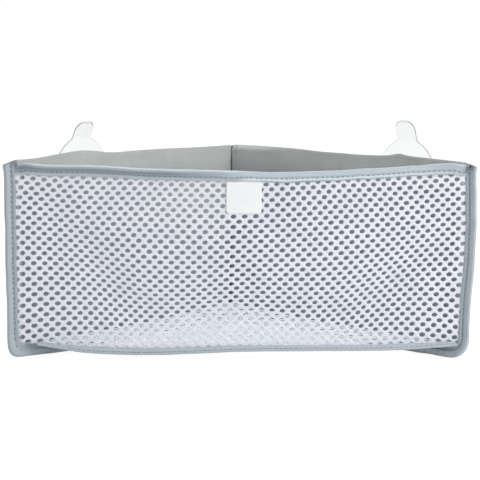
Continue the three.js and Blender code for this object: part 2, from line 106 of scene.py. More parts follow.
def newMaterial(name):
    material = bpy.data.materials.new(name)
    material.use_nodes = True
    material.node_tree.nodes.clear()
    return material, partial(addNode, material.node_tree)


def surface(add, look, layers, height=None, **links):
    # the look's shade with its other colours laid over it by their factors, on a principled shader with the look's
    # numbers, and a bump where there is a height
    tint = linear(look["shade"])
    for name, factor in layers.items():
        tint = add("Mix", {"Factor": factor, "A": tint, "B": linear(look[name])}, data_type="RGBA")
    inputs = {"Base Color": tint, **look["shader"], **links}
    if height:
        strength, depth = look["bump"]
        inputs["Normal"] = add("Bump", {"Height": height, "Strength": strength, "Distance": depth * mm})
    return add("BsdfPrincipled", inputs)


def bandScale(pitch):
    # Wave Texture repeats every pi / (10 scale) of its vector
    return pi / (10 * pitch)


def ease(low, high, x):
    t = clip((x - low) / (high - low), 0, 1)
    return t * t * (3 - 2 * t)


def through(x, knots):
    # a smooth curve through knots of place and value: cubic Hermite pieces with the neighbours' mean slope
    at, value = array(knots, float).T
    slope = np.gradient(value, at)
    k = clip(np.searchsorted(at, x) - 1, 0, len(at) - 2)
    step = at[k + 1] - at[k]
    t = clip((x - at[k]) / step, 0, 1)
    return ((1 + 2 * t) * (1 - t) ** 2 * value[k] + t * (1 - t) ** 2 * step * slope[k]
            + t * t * (3 - 2 * t) * value[k + 1] - t * t * (1 - t) * step * slope[k + 1])


def waver(t, length, seed):
    # a slow uneven wave of about -1 to 1: three sines of falling length, with seeded starts
    start = np.random.default_rng(seed).uniform(0, 2 * pi, 3)
    parts = [sin(2 * pi * t / (length * share) + s) for share, s in zip((1, 0.61, 0.37), start)]
    return (parts[0] + 0.6 * parts[1] + 0.35 * parts[2]) / 1.5


def bell(x, width):
    return exp(-(x / width) ** 2)


def backShift(y):
    # the bag leans to the side by the square of the way to the back seam
    return seam["backShift"] * clip(y / backSeamY, 0, 1) ** 2


def stacked(*parts):
    # coordinates on a new last axis, each an array or one number
    return stack(np.broadcast_arrays(*parts), -1)


def unit(v):
    return v / np.linalg.norm(v, axis=-1, keepdims=True)


def lengths(points):
    # distance along a row of points, summed step by step
    return concatenate([[0], np.cumsum(np.linalg.norm(np.diff(points, axis=0), axis=1))])


def bothFaces(middle, off):
    # the points of a sheet's front, then those of its back
    return concatenate([(middle + off).reshape(-1, 3), (middle - off).reshape(-1, 3)])


def gridQuads(rows, columns, around=False):
    # quads of a grid of points kept row by row; around joins the last column to the first
    r = arange(rows - 1)[:, None] * columns
    c = arange(columns if around else columns - 1)[None, :]
    n = (c + 1) % columns
    return stack([r + c, r + n, r + columns + n, r + columns + c], -1).reshape(-1, 4)


def closeSheet(quads, count):
    # the front, the same quads turned round on the back points, and a strip along every open edge
    a, b = quads.ravel(), np.roll(quads, -1, axis=1).ravel()
    free = ~np.isin(a * count + b, b * count + a)
    a, b = a[free], b[free]
    return concatenate([quads, quads[:, ::-1] + count, stack([b, a, a + count, b + count], 1)])


def signedVolume(points, faces):
    # sum over fans of triangles of the corner triple product
    p = points[faces]
    return sum(np.einsum("ij,ij->", p[:, 0], np.cross(p[:, k], p[:, k + 1])) for k in range(1, faces.shape[1] - 1))


def addObject(name, data):
    thing = bpy.data.objects.new(name, data)
    bpy.context.scene.collection.objects.link(thing)
    return thing


def addPiece(name, points, faceSets, material, replaced, crease, body="bag", uv=None, marks=None):
    # a mesh with outward faces, smooth but for creases, riding on its body in place of its CAD node; marks are
    # numbers at its points for its material
    if sum(signedVolume(points, faces) for faces in faceSets) < 0:
        faceSets = [faces[:, ::-1] for faces in faceSets]
    mesh = bpy.data.meshes.new(name)
    mesh.from_pydata(((points + [0, frontY, 0]) * mm).tolist(), [], sum((faces.tolist() for faces in faceSets), []))
    if uv is not None:
        corners = concatenate([faces.ravel() for faces in faceSets])
        mesh.uv_layers.new(name="flatMm").data.foreach_set("uv", uv[corners].astype(np.float32).ravel())
    mesh.shade_smooth()
    mesh.set_sharp_from_angle(angle=radians(crease))
    mesh.materials.append(material)
    for mark, values in (marks or {}).items():
        mesh.attributes.new(mark, "FLOAT", "POINT").data.foreach_set("value", values.astype(np.float32).ravel())
    piece = addObject(name, mesh)
    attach(piece, body)
    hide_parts(replaced)
    return piece


# Net, warp-knit polyester: a soft white with a slight sheen and fine loops along the strands.
net = dict(
    across=10.1,  # pitch of the staggered holes
    up=9.7,
    holeAcross=5.08,
    holeUp=4.0,
    holeSlant=0.06,
    holeVaries=0.03,
    holeSides=12,
    thickness=0.9,
    colour="#EEF1F9",
    shade="#E3E7F0",
    mottle=22.0,
    grain=1.5,  # uneven yarn along the strands
    bump=(0.35, 0.3),  # strength, and depth in mm
    shader={"Roughness": 0.75, "IOR": 1.5, "Specular IOR Level": 0.3, "Sheen Weight": 0.25, "Sheen Roughness": 0.5},
    loopPitch=1.4,  # real loops are about 0.7 mm; drawn twice as coarse so that they show
)
netMaterial, add = newMaterial("warpKnitPolyesterNet")
flat = add("UVMap", uv_map="flatMm")
loops = add("TexWave", {
    "Vector": flat, "Scale": bandScale(net["loopPitch"]), "Distortion": 2.5, "Detail": 1.0, "Detail Scale": 2.0},
    bands_direction="Y")
mottle = add("TexNoise", {"Vector": flat, "Scale": 1 / net["mottle"], "Detail": 3.0})
grain = add("TexNoise", {"Vector": flat, "Scale": 1 / net["grain"], "Detail": 2.0})
uneven = add("Math", {0: mottle, 1: grain}, operation="ADD")
share = add("MapRange", {"Value": uneven, "From Min": 0.7, "From Max": 1.3})
add("OutputMaterial", {"Surface": surface(add, net, {"colour": share}, loops.outputs["Fac"])})


def netPiece(name, sheet, low, high, keep, pressed, replaced, seed, hole=1.0):
    # Staggered oval holes, each in its own diamond: a ring of points along the diamond, one half way in and one
    # round the hole. The strand is thickest along the diamond and thins to the hole's edge, and to half where
    # pressed is 1, inside a tape. hole scales the ovals. Also gives the flat cut's area.
    half = array([net["across"], net["up"]]) / 2
    i, j = np.meshgrid(*(arange(np.floor(a / h), np.ceil(b / h) + 1) for a, b, h in zip(low, high, half)),
                       indexing="ij")
    inStep = (i + j) % 2 == 0
    centres = stacked(i[inStep], j[inStep]) * half
    centres = centres[keep(*centres.T)]
    sideCount = net["holeSides"]
    quarter = arange(sideCount) / sideCount * 4
    diamond = stacked(*(interp(quarter, range(5), at) for at in ([1, 0, -1, 0, 1], [0, 1, 0, -1, 0]))) * half
    turn = quarter * pi / 2
    oval = stacked(cos(turn), net["holeSlant"] * cos(turn) + net["holeUp"] / net["holeAcross"] * sin(turn))
    oval *= net["holeAcross"] / 2 * hole
    vary = 1 + net["holeVaries"] * np.random.default_rng(seed).standard_normal((len(centres), 1, 2))
    holes, borders = centres[:, None] + oval * vary, centres[:, None] + diamond
    rings = stack([borders, 0.55 * borders + 0.45 * holes, holes], 1)
    onCorner = np.isclose(quarter % 1, 0)
    lift = stack([where(onCorner, 0.86, 1.0), where(onCorner, 0.84, 0.9), np.full(sideCount, 0.32)])
    lift = np.broadcast_to(lift, rings.shape[:3]) * net["thickness"] / 2
    _, first, place = np.unique(np.round(rings.reshape(-1, 2) * 50).astype(np.int64), axis=0,
                                return_index=True, return_inverse=True)
    flat = rings.reshape(-1, 2)[first]
    a, b = flat.T
    height = lift.reshape(-1)[first] * (1 - 0.5 * pressed(a, b))
    step = 0.25
    normal = unit(np.cross(sheet(a + step, b) - sheet(a - step, b), sheet(a, b + step) - sheet(a, b - step)))
    starts = arange(len(centres))[:, None, None] * 3 * sideCount
    quads = place.reshape(-1)[(starts + gridQuads(3, sideCount, around=True)).reshape(-1, 4)]
    piece = addPiece(name, bothFaces(sheet(a, b), normal * height[:, None]), [closeSheet(quads, len(flat))],
                     netMaterial, replaced, 80, uv=np.tile(flat, (2, 1)))
    return piece, len(centres) * 2 * half[0] * half[1] * mm ** 2


# Front net: hangs from the top tape, with its slack in a valley low in the middle that runs up to both sides.
front = dict(
    topSetback=5.0,
    footSetback=7.0,
    tent=7.0,  # how far the cloth lies back along the valley
    valley=4.5,  # depth of the valley itself
    valleyWidth=17.0,
    valleyMiddle=42.0,  # height of the valley's line
    valleyRise=dict(left=(44.7, 1.2, 105), right=(33.7, 0.9, 100)),  # to each side: height, slope, place across
    valleyRounding=10,
    cutWidth=427.0,  # between the tapes, laid flat
    cutHeight=171.0,
    lip=7.0,  # seam allowance
    cornerRadius=11.5,
    # open edge of the top tape and middle of the foot seam: height at places across, mm
    topEdge=((-212, 177.6), (-185, 176.6), (-143, 175.9), (-78, 172.6), (-25, 171.6), (0, 170.5), (22, 169.4),
             (83, 170.8), (146, 174.6), (180, 177.0), (212, 178.4)),
    foot=((-212, 17.0), (-190, 16.0), (-170, 13.6), (-114, 10.3), (-76, 9.6), (0, 11.6), (83, 12.0), (150, 13.1),
          (190, 15.5), (212, 17.0)),
    # degrees below level of the foot tape at places across, and its ends
    footTurn=((-192, -8), (-172, -2), (-150, 8), (-110, 13), (-70, 11), (-33, 9), (86, 5.3), (147, 4.7), (206, 0)),
    footEnds=(-191.5, 206.0),
    # degrees back from upright of the top tape, where it turns over, and how far before its ends it stands up, mm
    leanLeft=-27.0, leanRight=29.0, leanTurn=-2.0, turnHalf=11.0, endLeft=22.0, endRight=45.0,
)
# how far the net's knots lie from their flat places, across and up, on a coarse grid of cubic B-spline knots, mm
drape = dict(
    start=(-240.0, -20.0),
    step=(48.0, 42.0),
    across=(
        (-11, -6, -2, 0, 1, 0, -3, -6, -9, -10, -11, -12, -13),
        (-12, -5, 0, 3, 1, 0, -2, -4, -7, -9, -9, -10, -9),
        (-12, -5, 3, 6, 1, 0, 0, -1, -4, -9, -7, -6, -6),
        (-10, -4, 4, 5, -1, 1, 1, 1, 3, -4, -6, -3, -3),
        (-4, 0, 2, -2, -3, 1, 3, 5, 6, 6, 0, -2, -3),
        (3, 3, 2, 2, 1, 0, 4, 6, 4, 1, 0, -2, -4),
        (9, 9, 9, 11, 9, 5, 3, 1, -2, -6, -6, -5, -5),
        (15, 16, 17, 18, 15, 10, 4, -2, -6, -10, -10, -9, -7)),
    up=(
        (-11, -5, -1, 3, 7, 10, 11, 11, 9, 5, 0, -4, -9),
        (-10, -5, -1, 2, 3, 5, 6, 5, 5, 5, 2, -2, -7),
        (-9, -6, -1, 2, -2, -1, 1, -2, -1, 7, 4, -1, -4),
        (-6, -4, 1, 2, -8, -8, -3, -7, -7, 3, 6, 2, 1),
        (0, 1, 2, -6, -10, -12, -9, -8, -5, -2, 5, 7, 6),
        (5, 3, -2, -6, -5, -8, -10, -7, -3, -1, 3, 8, 10),
        (7, 2, -4, -7, -7, -9, -7, -5, -3, -2, 1, 6, 11),
        (8, 0, -6, -9, -9, -8, -6, -4, -3, -2, 0, 5, 11)),
)


def towardsMiddle(x):
    return clip(1 - (x / halfWidth) ** 2, 0, 1)


def topOpenEdge(x):
    return through(x, front["topEdge"])


def footSeam(x):
    return through(x, front["foot"])


def topOut(x):
    # the way the top tape stands: leaning out on the left, back on the right, upright at both ends
    share = ease(front["leanTurn"] - front["turnHalf"], front["leanTurn"] + front["turnHalf"], x)
    ends = ease(halfWidth + 2, halfWidth - where(x < 0, front["endLeft"], front["endRight"]), abs(x))
    lean = radians((front["leanLeft"] + (front["leanRight"] - front["leanLeft"]) * share) * ends)
    return stacked(0, sin(lean), cos(lean))


def footOut(x):
    # the foot tape points forwards and slightly down, less so at its ends
    angle = radians(through(x, front["footTurn"]))
    return stacked(0, -cos(angle), -sin(angle))


def sideOf(out):
    # square to the front's tapes, as out turned by a right angle
    return stacked(0, out[..., 2], -out[..., 1])


def foldHeight(x):
    # the valley's line: level in the middle, rising along straight lines to both sides, rounded where they meet
    lines, soft = [np.full_like(x, front["valleyMiddle"])], front["valleyRounding"]
    for sideName, sign in sides.items():
        height, slope, place = front["valleyRise"][sideName]
        lines.append(height + slope * (sign * x - place))
    return soft * np.log(exp(clip(lines, -400, 400) / soft).sum(0))


def frontDepth(x, v):
    # straight from top to foot, plus a rounded tent whose ridge is the valley's line, and the valley itself as a
    # bell of the distance off that line
    low, head, line = footSeam(x), topOpenEdge(x), foldHeight(x)
    ridge = clip((line - low) / (head - low), 0.1, 0.9)
    below, above = v / ridge, (1 - v) / (1 - ridge)
    tent = clip(-np.log(exp(-9 * below) + exp(-9 * above)) / 9, 0, 1)
    slope = foldHeight(x + 0.5) - foldHeight(x - 0.5)
    off = (low + v * (head - low) - line) / sqrt(1 + slope ** 2)
    edges = sqrt(clip(v * (1 - v) * 4, 0, 1))
    valley = front["valley"] * bell(off, front["valleyWidth"]) * edges
    straight = front["topSetback"] * v + front["footSetback"] * (1 - v)
    return (straight + front["tent"] * tent + valley) * towardsMiddle(x) ** 0.8 - seam["netInSide"]


def knotShares(place, count):
    # the four knots round each place on a grid, and their cubic B-spline shares
    k = clip(np.floor(place).astype(int), 0, count - 4)
    t = place - k
    shares = stacked((1 - t) ** 3, 3 * t ** 3 - 6 * t ** 2 + 4, -3 * t ** 3 + 3 * t ** 2 + 3 * t + 1, t ** 3) / 6
    return k[..., None] + arange(4), shares


def frontPlace(a, b):
    # where a point a mm across and b mm up the flat cut goes, seen from the front: moved by the drape's spline
    rows, columns = np.shape(drape["up"])
    column, columnShare = knotShares((a - drape["start"][0]) / drape["step"][0], columns)
    row, rowShare = knotShares((b - drape["start"][1]) / drape["step"][1], rows)
    shares = rowShare[..., :, None] * columnShare[..., None, :]
    across, rise = ((array(drape[name])[row[..., :, None], column[..., None, :]] * shares).sum((-2, -1))
                    for name in ("across", "up"))
    return a + across, b + rise


def frontSheet(a, b):
    # the place set back by the front's depth; past the open edges the cloth runs on into the tapes, gathered by
    # the sides' folds and left of the foot tape
    x, z = frontPlace(a, b)
    past = maximum(abs(x) - halfWidth - front["lip"] + 1, 0)
    x = x - np.sign(x) * 0.9 * past
    head, low = topOpenEdge(x), footSeam(x)
    v = clip((z - low) / (head - low), 0, 1)
    y = frontDepth(x, v) + 0.5 * waver(x + 0.6 * b, 95, 3) * sin(pi * v) * towardsMiddle(x)
    inTape = ease(front["footEnds"][0] - 1, front["footEnds"][0] + 3, x)[..., None]
    lipOut = footOut(x) * inTape + array([0.0, 0.08, -0.08]) * (1 - inTape)
    return (stacked(x, y, clip(z, low, head)) + topOut(x) * maximum(z - head, 0)[..., None]
            + lipOut * maximum(low - z, 0)[..., None])


def inFront(a, b):
    # holes up to the seam allowance, inside the rounded lower corners, and short of the top tape's thin ends
    x, z = frontPlace(a, b)
    lip, across = front["lip"], abs(x)
    radius = front["cornerRadius"] + lip
    fromFoot = z - footSeam(x) + lip - 3
    fromSide = halfWidth + lip - 4 * ease(38, 20, fromFoot) - across
    fromTop = topOpenEdge(x) + 1.5 + (lip - 4.5) * ease(halfWidth - 6, halfWidth - 16, across) - z
    power = where(x < 0, seam["square"]["left"], seam["square"]["right"])
    corner = maximum(radius - fromSide, 0) ** power + maximum(radius - fromFoot, 0) ** power
    return (fromSide > 0) & (fromFoot > 0) & (fromTop > 0) & (corner < radius ** power)


def frontPressed(a, b):
    x, z = frontPlace(a, b)
    atSides = ease(halfWidth - 3, halfWidth - 1, abs(x))
    inTapes = maximum(ease(0.5, -2, z - footSeam(x)), ease(-0.5, 2, z - topOpenEdge(x)))
    return maximum(inTapes, atSides)


frontNet, cutArea = netPiece("frontNet", frontSheet, (-halfWidth - 25, -15), (halfWidth + 25, 205), inFront,
                             frontPressed, "front_mesh", 11)


# Floor net: stretched over the corner between the walls' feet and the front's foot seam.
floor = dict(
    height=14.5,  # at the walls
    cornerLift=4.5,  # towards the back corner
    cornerWidth=62.0,
    sag=1.6,
    edgeInset=1.8,  # from the walls' middle to the net's edge
    lip=6.0,
    hole=0.97,  # slack, so that its holes draw in
)


def footFront(x):
    # where the floor meets the foot tape: under the front net's foot, one slot apart
    return stacked(x, frontDepth(x, 0 * x), footSeam(x)) - sideOf(footOut(x)) * 2 * seam["netInFoot"]


def fromWalls(x, y):
    # plan distance in from the net's edges along the walls
    return (backBend[0] + backBend[1] - abs(x) - y) * run[0] - floor["edgeInset"]


def floorSheet(a, b):
    # a and b are the plan; past the walls the sheet turns down, and past the foot seam it turns along the foot tape
    past = maximum(-fromWalls(a, b), 0)
    x = a - np.sign(a) * past * run[0]
    y = b - past * run[0]
    hem = footFront(clip(x, -halfWidth + 9, halfWidth - 9))
    short = maximum(hem[..., 1] - y, 0)
    y = maximum(y, hem[..., 1])
    fromWall, fromFoot = maximum(fromWalls(x, y), 0), y - hem[..., 1]
    lift = floor["cornerLift"] * bell(backBend[1] - y, floor["cornerWidth"])
    sag = floor["sag"] * (1 - exp(-fromWall / 22)) * (1 - exp(-fromFoot / 30))
    ripple = 0.5 * waver(x - 0.7 * y, 70, 8) * (1 - exp(-fromWall / 15)) * (1 - exp(-fromFoot / 15))
    z = floor["height"] + lift - sag + ripple
    z = z + (hem[..., 2] - z) * bell(fromFoot, 16)
    return stacked(x + backShift(y), y, z - past) + footOut(x) * short[..., None]


def inFloor(a, b):
    lip = floor["lip"] - 3
    return ((fromWalls(a, b) > -lip) & (b > footFront(a)[:, 1] - lip - 1) & (a > front["footEnds"][0])
            & (a < halfWidth - 10))


def floorPressed(a, b):
    return ease(0.5, -2, b - footFront(a)[:, 1])


floorPiece, cutArea = netPiece("floorNet", floorSheet, (-halfWidth, -9), (halfWidth, backBend[1] + 9), inFloor,
                               floorPressed, "bottom_mesh", 12, floor["hole"])
print("nets made")


# Walls, brushed jersey over thin foam: soft grey, mottled nap, faint knit columns, a darker cut edge at the top, and
# painted shade low down and beside the back seam.
wall = dict(
    half=1.0,  # half the thickness
    lip=5.0,
    bendRadius=1.4,
    low=6.0,  # foot of the sheet, inside the tape
    cornerRadius=10.3,
    hole=4.5,  # radius round the eyelet's barrel
    bulge=1.3,
    roundTop=1.4,  # depth of the rounded top edge
    colour="#C4C7C3",
    shade="#B6BAB6",
    lowShadeColour="#94989F",  # painted shade: darker and cooler below the rim, behind the nets
    lowShadeHeights=(178.0, 160.0),  # where it starts and is full
    lowShadeInside=0.85,  # the painted shade's share on either face
    lowShadeOutside=0.25,
    # the cut edge's own darker colour, also used for painted shade beside the back seam
    edgeAndShadeColour="#8C8E8A",
    edgeShare=0.8,
    napSize=2.2,  # mottling of the brushed nap
    cloudSize=30.0,
    bump=(0.22, 0.3),
    shader={"Roughness": 0.95, "IOR": 1.5, "Specular IOR Level": 0.2, "Sheen Weight": 0.3, "Sheen Roughness": 0.6},
    knitPitch=1.8,  # real columns are about 0.9 mm; drawn twice as coarse so that they show
)
wallShapes = dict(
    # lifts: how far the top stands over the tapes' height at distances from the front, mm
    # flare: how far it rolls out along the top by the back corner, mm; crease: painted shade of a press line beside the
    # seam, and a fade of painted shade along it;
    # paler: how much less the painted low shade darkens the inside towards the back corner
    left=dict(seed=26, flare=0.0, crease=0.0, paler=0.5,
              lifts=((-6, 1.2), (18, 1.3), (48, 3.8), (80, 5.6), (98, 4.3), (113, 2.3), (148, 2.0), (185, 1.8),
                     (245, 0.6), (300, 0.4))),
    right=dict(seed=27, flare=2.6, crease=1.0, paler=0.0,
               lifts=((-6, 0.4), (18, 1.2), (42, 2.1), (64, 2.9), (74, 4.2), (85, 2.2), (113, 0.5), (145, 0.5),
                      (175, 0.6), (202, 1.5), (257, 1.3), (300, 0.4))),
)
wallMaterial, add = newMaterial("brushedJerseyOverFoam")
flat = add("UVMap", uv_map="flatMm")
nap = add("TexNoise", {"Vector": flat, "Scale": 1 / wall["napSize"], "Detail": 4.0, "Roughness": 0.65})
cloud = add("TexNoise", {"Vector": flat, "Scale": 1 / wall["cloudSize"], "Detail": 2.0})
both = add("Math", {0: nap, 1: cloud}, operation="MULTIPLY")
share = add("MapRange", {"Value": both, "From Min": 0.12, "From Max": 0.4})
height = add("SeparateXYZ", {"Vector": flat}).outputs["Y"]
# share of the painted low shade, marked per face
inside = add("Attribute", attribute_name="inside").outputs["Fac"]
shadeFrom, shadeFull = wall["lowShadeHeights"]
# painted shade, none above the first height and full below the second
low = add("MapRange", {"Value": height, "From Min": shadeFrom, "From Max": shadeFull, "To Max": inside})
# the cut edge, and painted shade beside the back seam
cutEdgeAndSeamShade = add("Attribute", attribute_name="cutEdgeAndSeamShade").outputs["Fac"]
knit = add("TexWave", {
    "Vector": flat, "Scale": bandScale(wall["knitPitch"]), "Distortion": 1.5, "Detail": 2.0}, bands_direction="X")
pile = add("Math", {0: knit.outputs["Fac"], 1: nap}, operation="ADD")
layers = {"colour": share, "lowShadeColour": low, "edgeAndShadeColour": cutEdgeAndSeamShade}
add("OutputMaterial", {"Surface": surface(add, wall, layers, pile)})


def wallPath():
    # plan of the right wall: a heading that turns from the back lip to the run to the front lip, summed step by step
    tangent = wall["bendRadius"] * np.tan(pi / 8)
    arc = wall["bendRadius"] * pi / 4
    knots = np.cumsum([0, wall["lip"] - tangent, arc, wallLength - 2 * tangent, arc, wall["lip"] - tangent])
    s = linspace(0, knots[-1], 6000)
    heading = interp(s, knots, radians([-90, -90, -45, -45, 0, 0]))
    middle, step = (heading[1:] + heading[:-1]) / 2, np.diff(s)
    x = backBend[0] + concatenate([[0], np.cumsum(cos(middle) * step)])
    y = backBend[1] + wall["lip"] + concatenate([[0], np.cumsum(sin(middle) * step)])
    return s, heading, x, y, knots[2] - tangent


def wallPiece(sideName, shape):
    # Columns along the path and rows up the wall. Round the cup both are even, so that a block of 4 by 4 quads
    # can be left out and its border drawn on to the eyelet's circle. Swell, flare and thickness lie along the
    # path's normal.
    path, heading, pathX, pathY, start = wallPath()
    end, lip = path[-1], wall["lip"]
    at = cupJoints[f"{sideName}_cup"]["pos_m"]
    cupAlong, cupHeight = start + (abs(at[0]) / mm - backBend[0]) / run[0], at[2] / mm
    step = wall["hole"] / 2
    block = step * arange(-2, 3)
    columns = concatenate([
        linspace(0, 14, 33), linspace(14, cupAlong - 3 * step, 85)[1:], cupAlong + block,
        linspace(cupAlong + 3 * step, end - 11, 30), linspace(end - 11, end, 20)[1:]])
    fixed = cupHeight + concatenate([[-4 * step, -3 * step], block, [3 * step]])
    lowRows = linspace(0, 1, 56)[:-1, None]
    highRows = concatenate([linspace(0, 0.78, 4)[1:], 1 - array([1.0, 0.7, 0.4, 0.15, 0.0]) * 0.1])[:, None]
    fromFront = end - lip - columns
    inSide, inBack = ease(-1.8, -4.5, fromFront), ease(-1.0, -3.5, columns - lip)
    topLine = wallHeight + through(fromFront, shape["lifts"]) - 6 * inSide - 0.6 * inBack
    bend = clip(columns - (end - lip - wall["cornerRadius"]), 0, None)
    reach, power = wall["cornerRadius"] + lip, seam["square"][sideName]
    lowLine = wall["low"] + reach - clip(reach ** power - bend ** power, 0, None) ** (1 / power)
    z = concatenate([lowLine + lowRows * (fixed[0] - lowLine), fixed[:, None] + 0 * columns,
                     fixed[-1] + highRows * (topLine - fixed[-1])])
    r, c = np.indices(z.shape)
    ring = maximum(abs(r - len(lowRows) - 4), abs(c - np.argmin(abs(columns - cupAlong))))
    u, v = columns - cupAlong, z - cupHeight
    scale = where(ring == 2, wall["hole"] / maximum(hypot(u, v), 1e-6), 1.0)
    s, z = cupAlong + u * scale, cupHeight + v * scale
    depthTop = topLine - z
    pressed = maximum(maximum(inSide, inBack), ease(lowLine + 8, lowLine + 3, z))
    atBack = ease(lip + 1.5, lip - 0.5, s)
    rounded = sqrt(1 - clip(1 - depthTop / wall["roundTop"], 0, 0.985) ** 2)
    half = (wall["half"] - 0.3 * pressed - 0.3 * atBack) * rounded
    window = (ease(8, 50, s) * ease(end - 8, end - 45, s) * ease(12, 60, z)
              * ease(10, 34, hypot(s - cupAlong, z - cupHeight)))
    swell = wall["bulge"] * window * (0.6 + 0.7 * waver(s + 0.4 * z, 130, shape["seed"])) - 0.2 * atBack
    swell = swell - shape["flare"] * ease(5, 0, depthTop) ** 2 * ease(200, 280, fromFront)
    theta = interp(s, path, heading)
    normal = stacked(sin(theta), -cos(theta), 0)
    middle = stacked(interp(s, path, pathX), interp(s, path, pathY), z) + normal * swell[..., None]
    quads = gridQuads(*z.shape)
    quads = quads[~(ring <= 2).reshape(-1)[quads].all(axis=1)]
    used, faces = np.unique(closeSheet(quads, z.size), return_inverse=True)
    points = bothFaces(middle, normal * half[..., None])[used] * [sides[sideName], 1, 1]
    points[:, 0] += backShift(points[:, 1])
    # painted shade: a dark line in a press crease beside the back seam, and a fade of shade out from the seam
    seamShade = shape["crease"] * bell(s - lip - 5.5, 0.9) * ease(16, 8, depthTop)
    seamShade = maximum(seamShade, 0.3 * shape["crease"] * exp(-(s - lip) / 45))
    # the cut edge's darker colour along the top, together with the painted seam shade
    darker = maximum(wall["edgeShare"] * ease(1.3, 0.3, depthTop), seamShade)
    # painted low shade on the inside face, eased off towards the back corner by paler
    inside = wall["lowShadeInside"] - shape["paler"] * ease(130, 240, fromFront) * ease(80, 135, z)
    piece = addPiece(
        f"{sideName}Wall", points, [faces.reshape(-1, 4)], wallMaterial, f"{sideName}_wall", 60,
        uv=np.tile(stacked(s, z).reshape(-1, 2), (2, 1))[used],
        marks={"cutEdgeAndSeamShade": np.tile(darker.ravel(), 2)[used],
               "inside": np.append(inside, np.full(z.size, wall["lowShadeOutside"]))[used]})


for sideName, shape in wallShapes.items():
    wallPiece(sideName, shape)
print("walls made")


# Tape, knitted stretch binding folded over the seams: smooth with a soft sheen, fine ribs along its length, and painted
# shade in its grooves, on its folds and at its ends.
tape = dict(
    colour="#B7C0C7",
    shade="#ABB5BC",
    paintedShadeColour="#747D85",  # painted shade: in the stitch grooves, on the folds and lips, and at the rolled and capped ends
    ribPitch=1.6,  # real ribs are about 0.8 mm; drawn twice as coarse so that they show
    streak=(14.0, 3.0),
    bump=(0.2, 0.2),
    shader={"Roughness": 0.55, "IOR": 1.5, "Specular IOR Level": 0.4, "Sheen Weight": 0.35, "Sheen Roughness": 0.4},
    grooveDepth=0.46,  # share of the half thickness that the stitches pull in
    grooveWidth=1.15,
    flare=0.14,  # how far its open edge stands off
    foldStart=7.4,  # where the roll of the fold starts, from the open edge
    puffWidth=2.6,
    pucker=0.06,
    widthVaries=0.025,
    edgeVaries=0.45,
    edgeLift=0.25,
)
# the thread's own colour, painted darker to stand in partly for the shade in its stitch pits
thread = dict(colour="#7B868F", shade="#5C6771", length=2.7, radius=0.5, lay=0.5,
              shader={"Roughness": 0.7, "IOR": 1.5, "Specular IOR Level": 0.3})
tapeMaterial, add = newMaterial("knittedStretchBinding")
flat = add("UVMap", uv_map="flatMm")
ribs = add("TexWave", {
    "Vector": flat, "Scale": bandScale(tape["ribPitch"]), "Distortion": 0.6, "Detail": 1.0}, bands_direction="Y")
streak = add("Mapping", {"Vector": flat, "Scale": (1 / tape["streak"][0], 1 / tape["streak"][1], 1)})
mottle = add("TexNoise", {"Vector": streak, "Scale": 1.0, "Detail": 3.0})
paintedTapeShade = add("Attribute", attribute_name="paintedTapeShade").outputs["Fac"]
layers = {"colour": mottle, "paintedShadeColour": paintedTapeShade}
add("OutputMaterial", {"Surface": surface(add, tape, layers, ribs.outputs["Fac"])})

threadMaterial, add = newMaterial("spunPolyesterThread")  # twisted yarn: matt, with painted shade of the lay between plies as a dark mottle
place = add("TexCoord").outputs["Object"]
twist = add("TexNoise", {"Vector": place, "Scale": 1 / (thread["lay"] * mm), "Detail": 1.0})
add("OutputMaterial", {"Surface": surface(add, thread, {"colour": twist})})


def tapeFace(d, half, inset, puff, fold):
    # half thickness at d from the open edge: flared there, a groove at the stitches, a puff by an elliptic fold
    roll = sqrt(1 - clip((d - fold) / (seam["tapeWidth"] - fold), 0, 1) ** 2)
    dip = tape["grooveDepth"] * bell(d - inset, tape["grooveWidth"])
    swell = puff * bell(d - fold - 0.8, tape["puffWidth"]) + tape["flare"] * bell(d, 1.6)
    return half * (1 - dip + swell) * roll


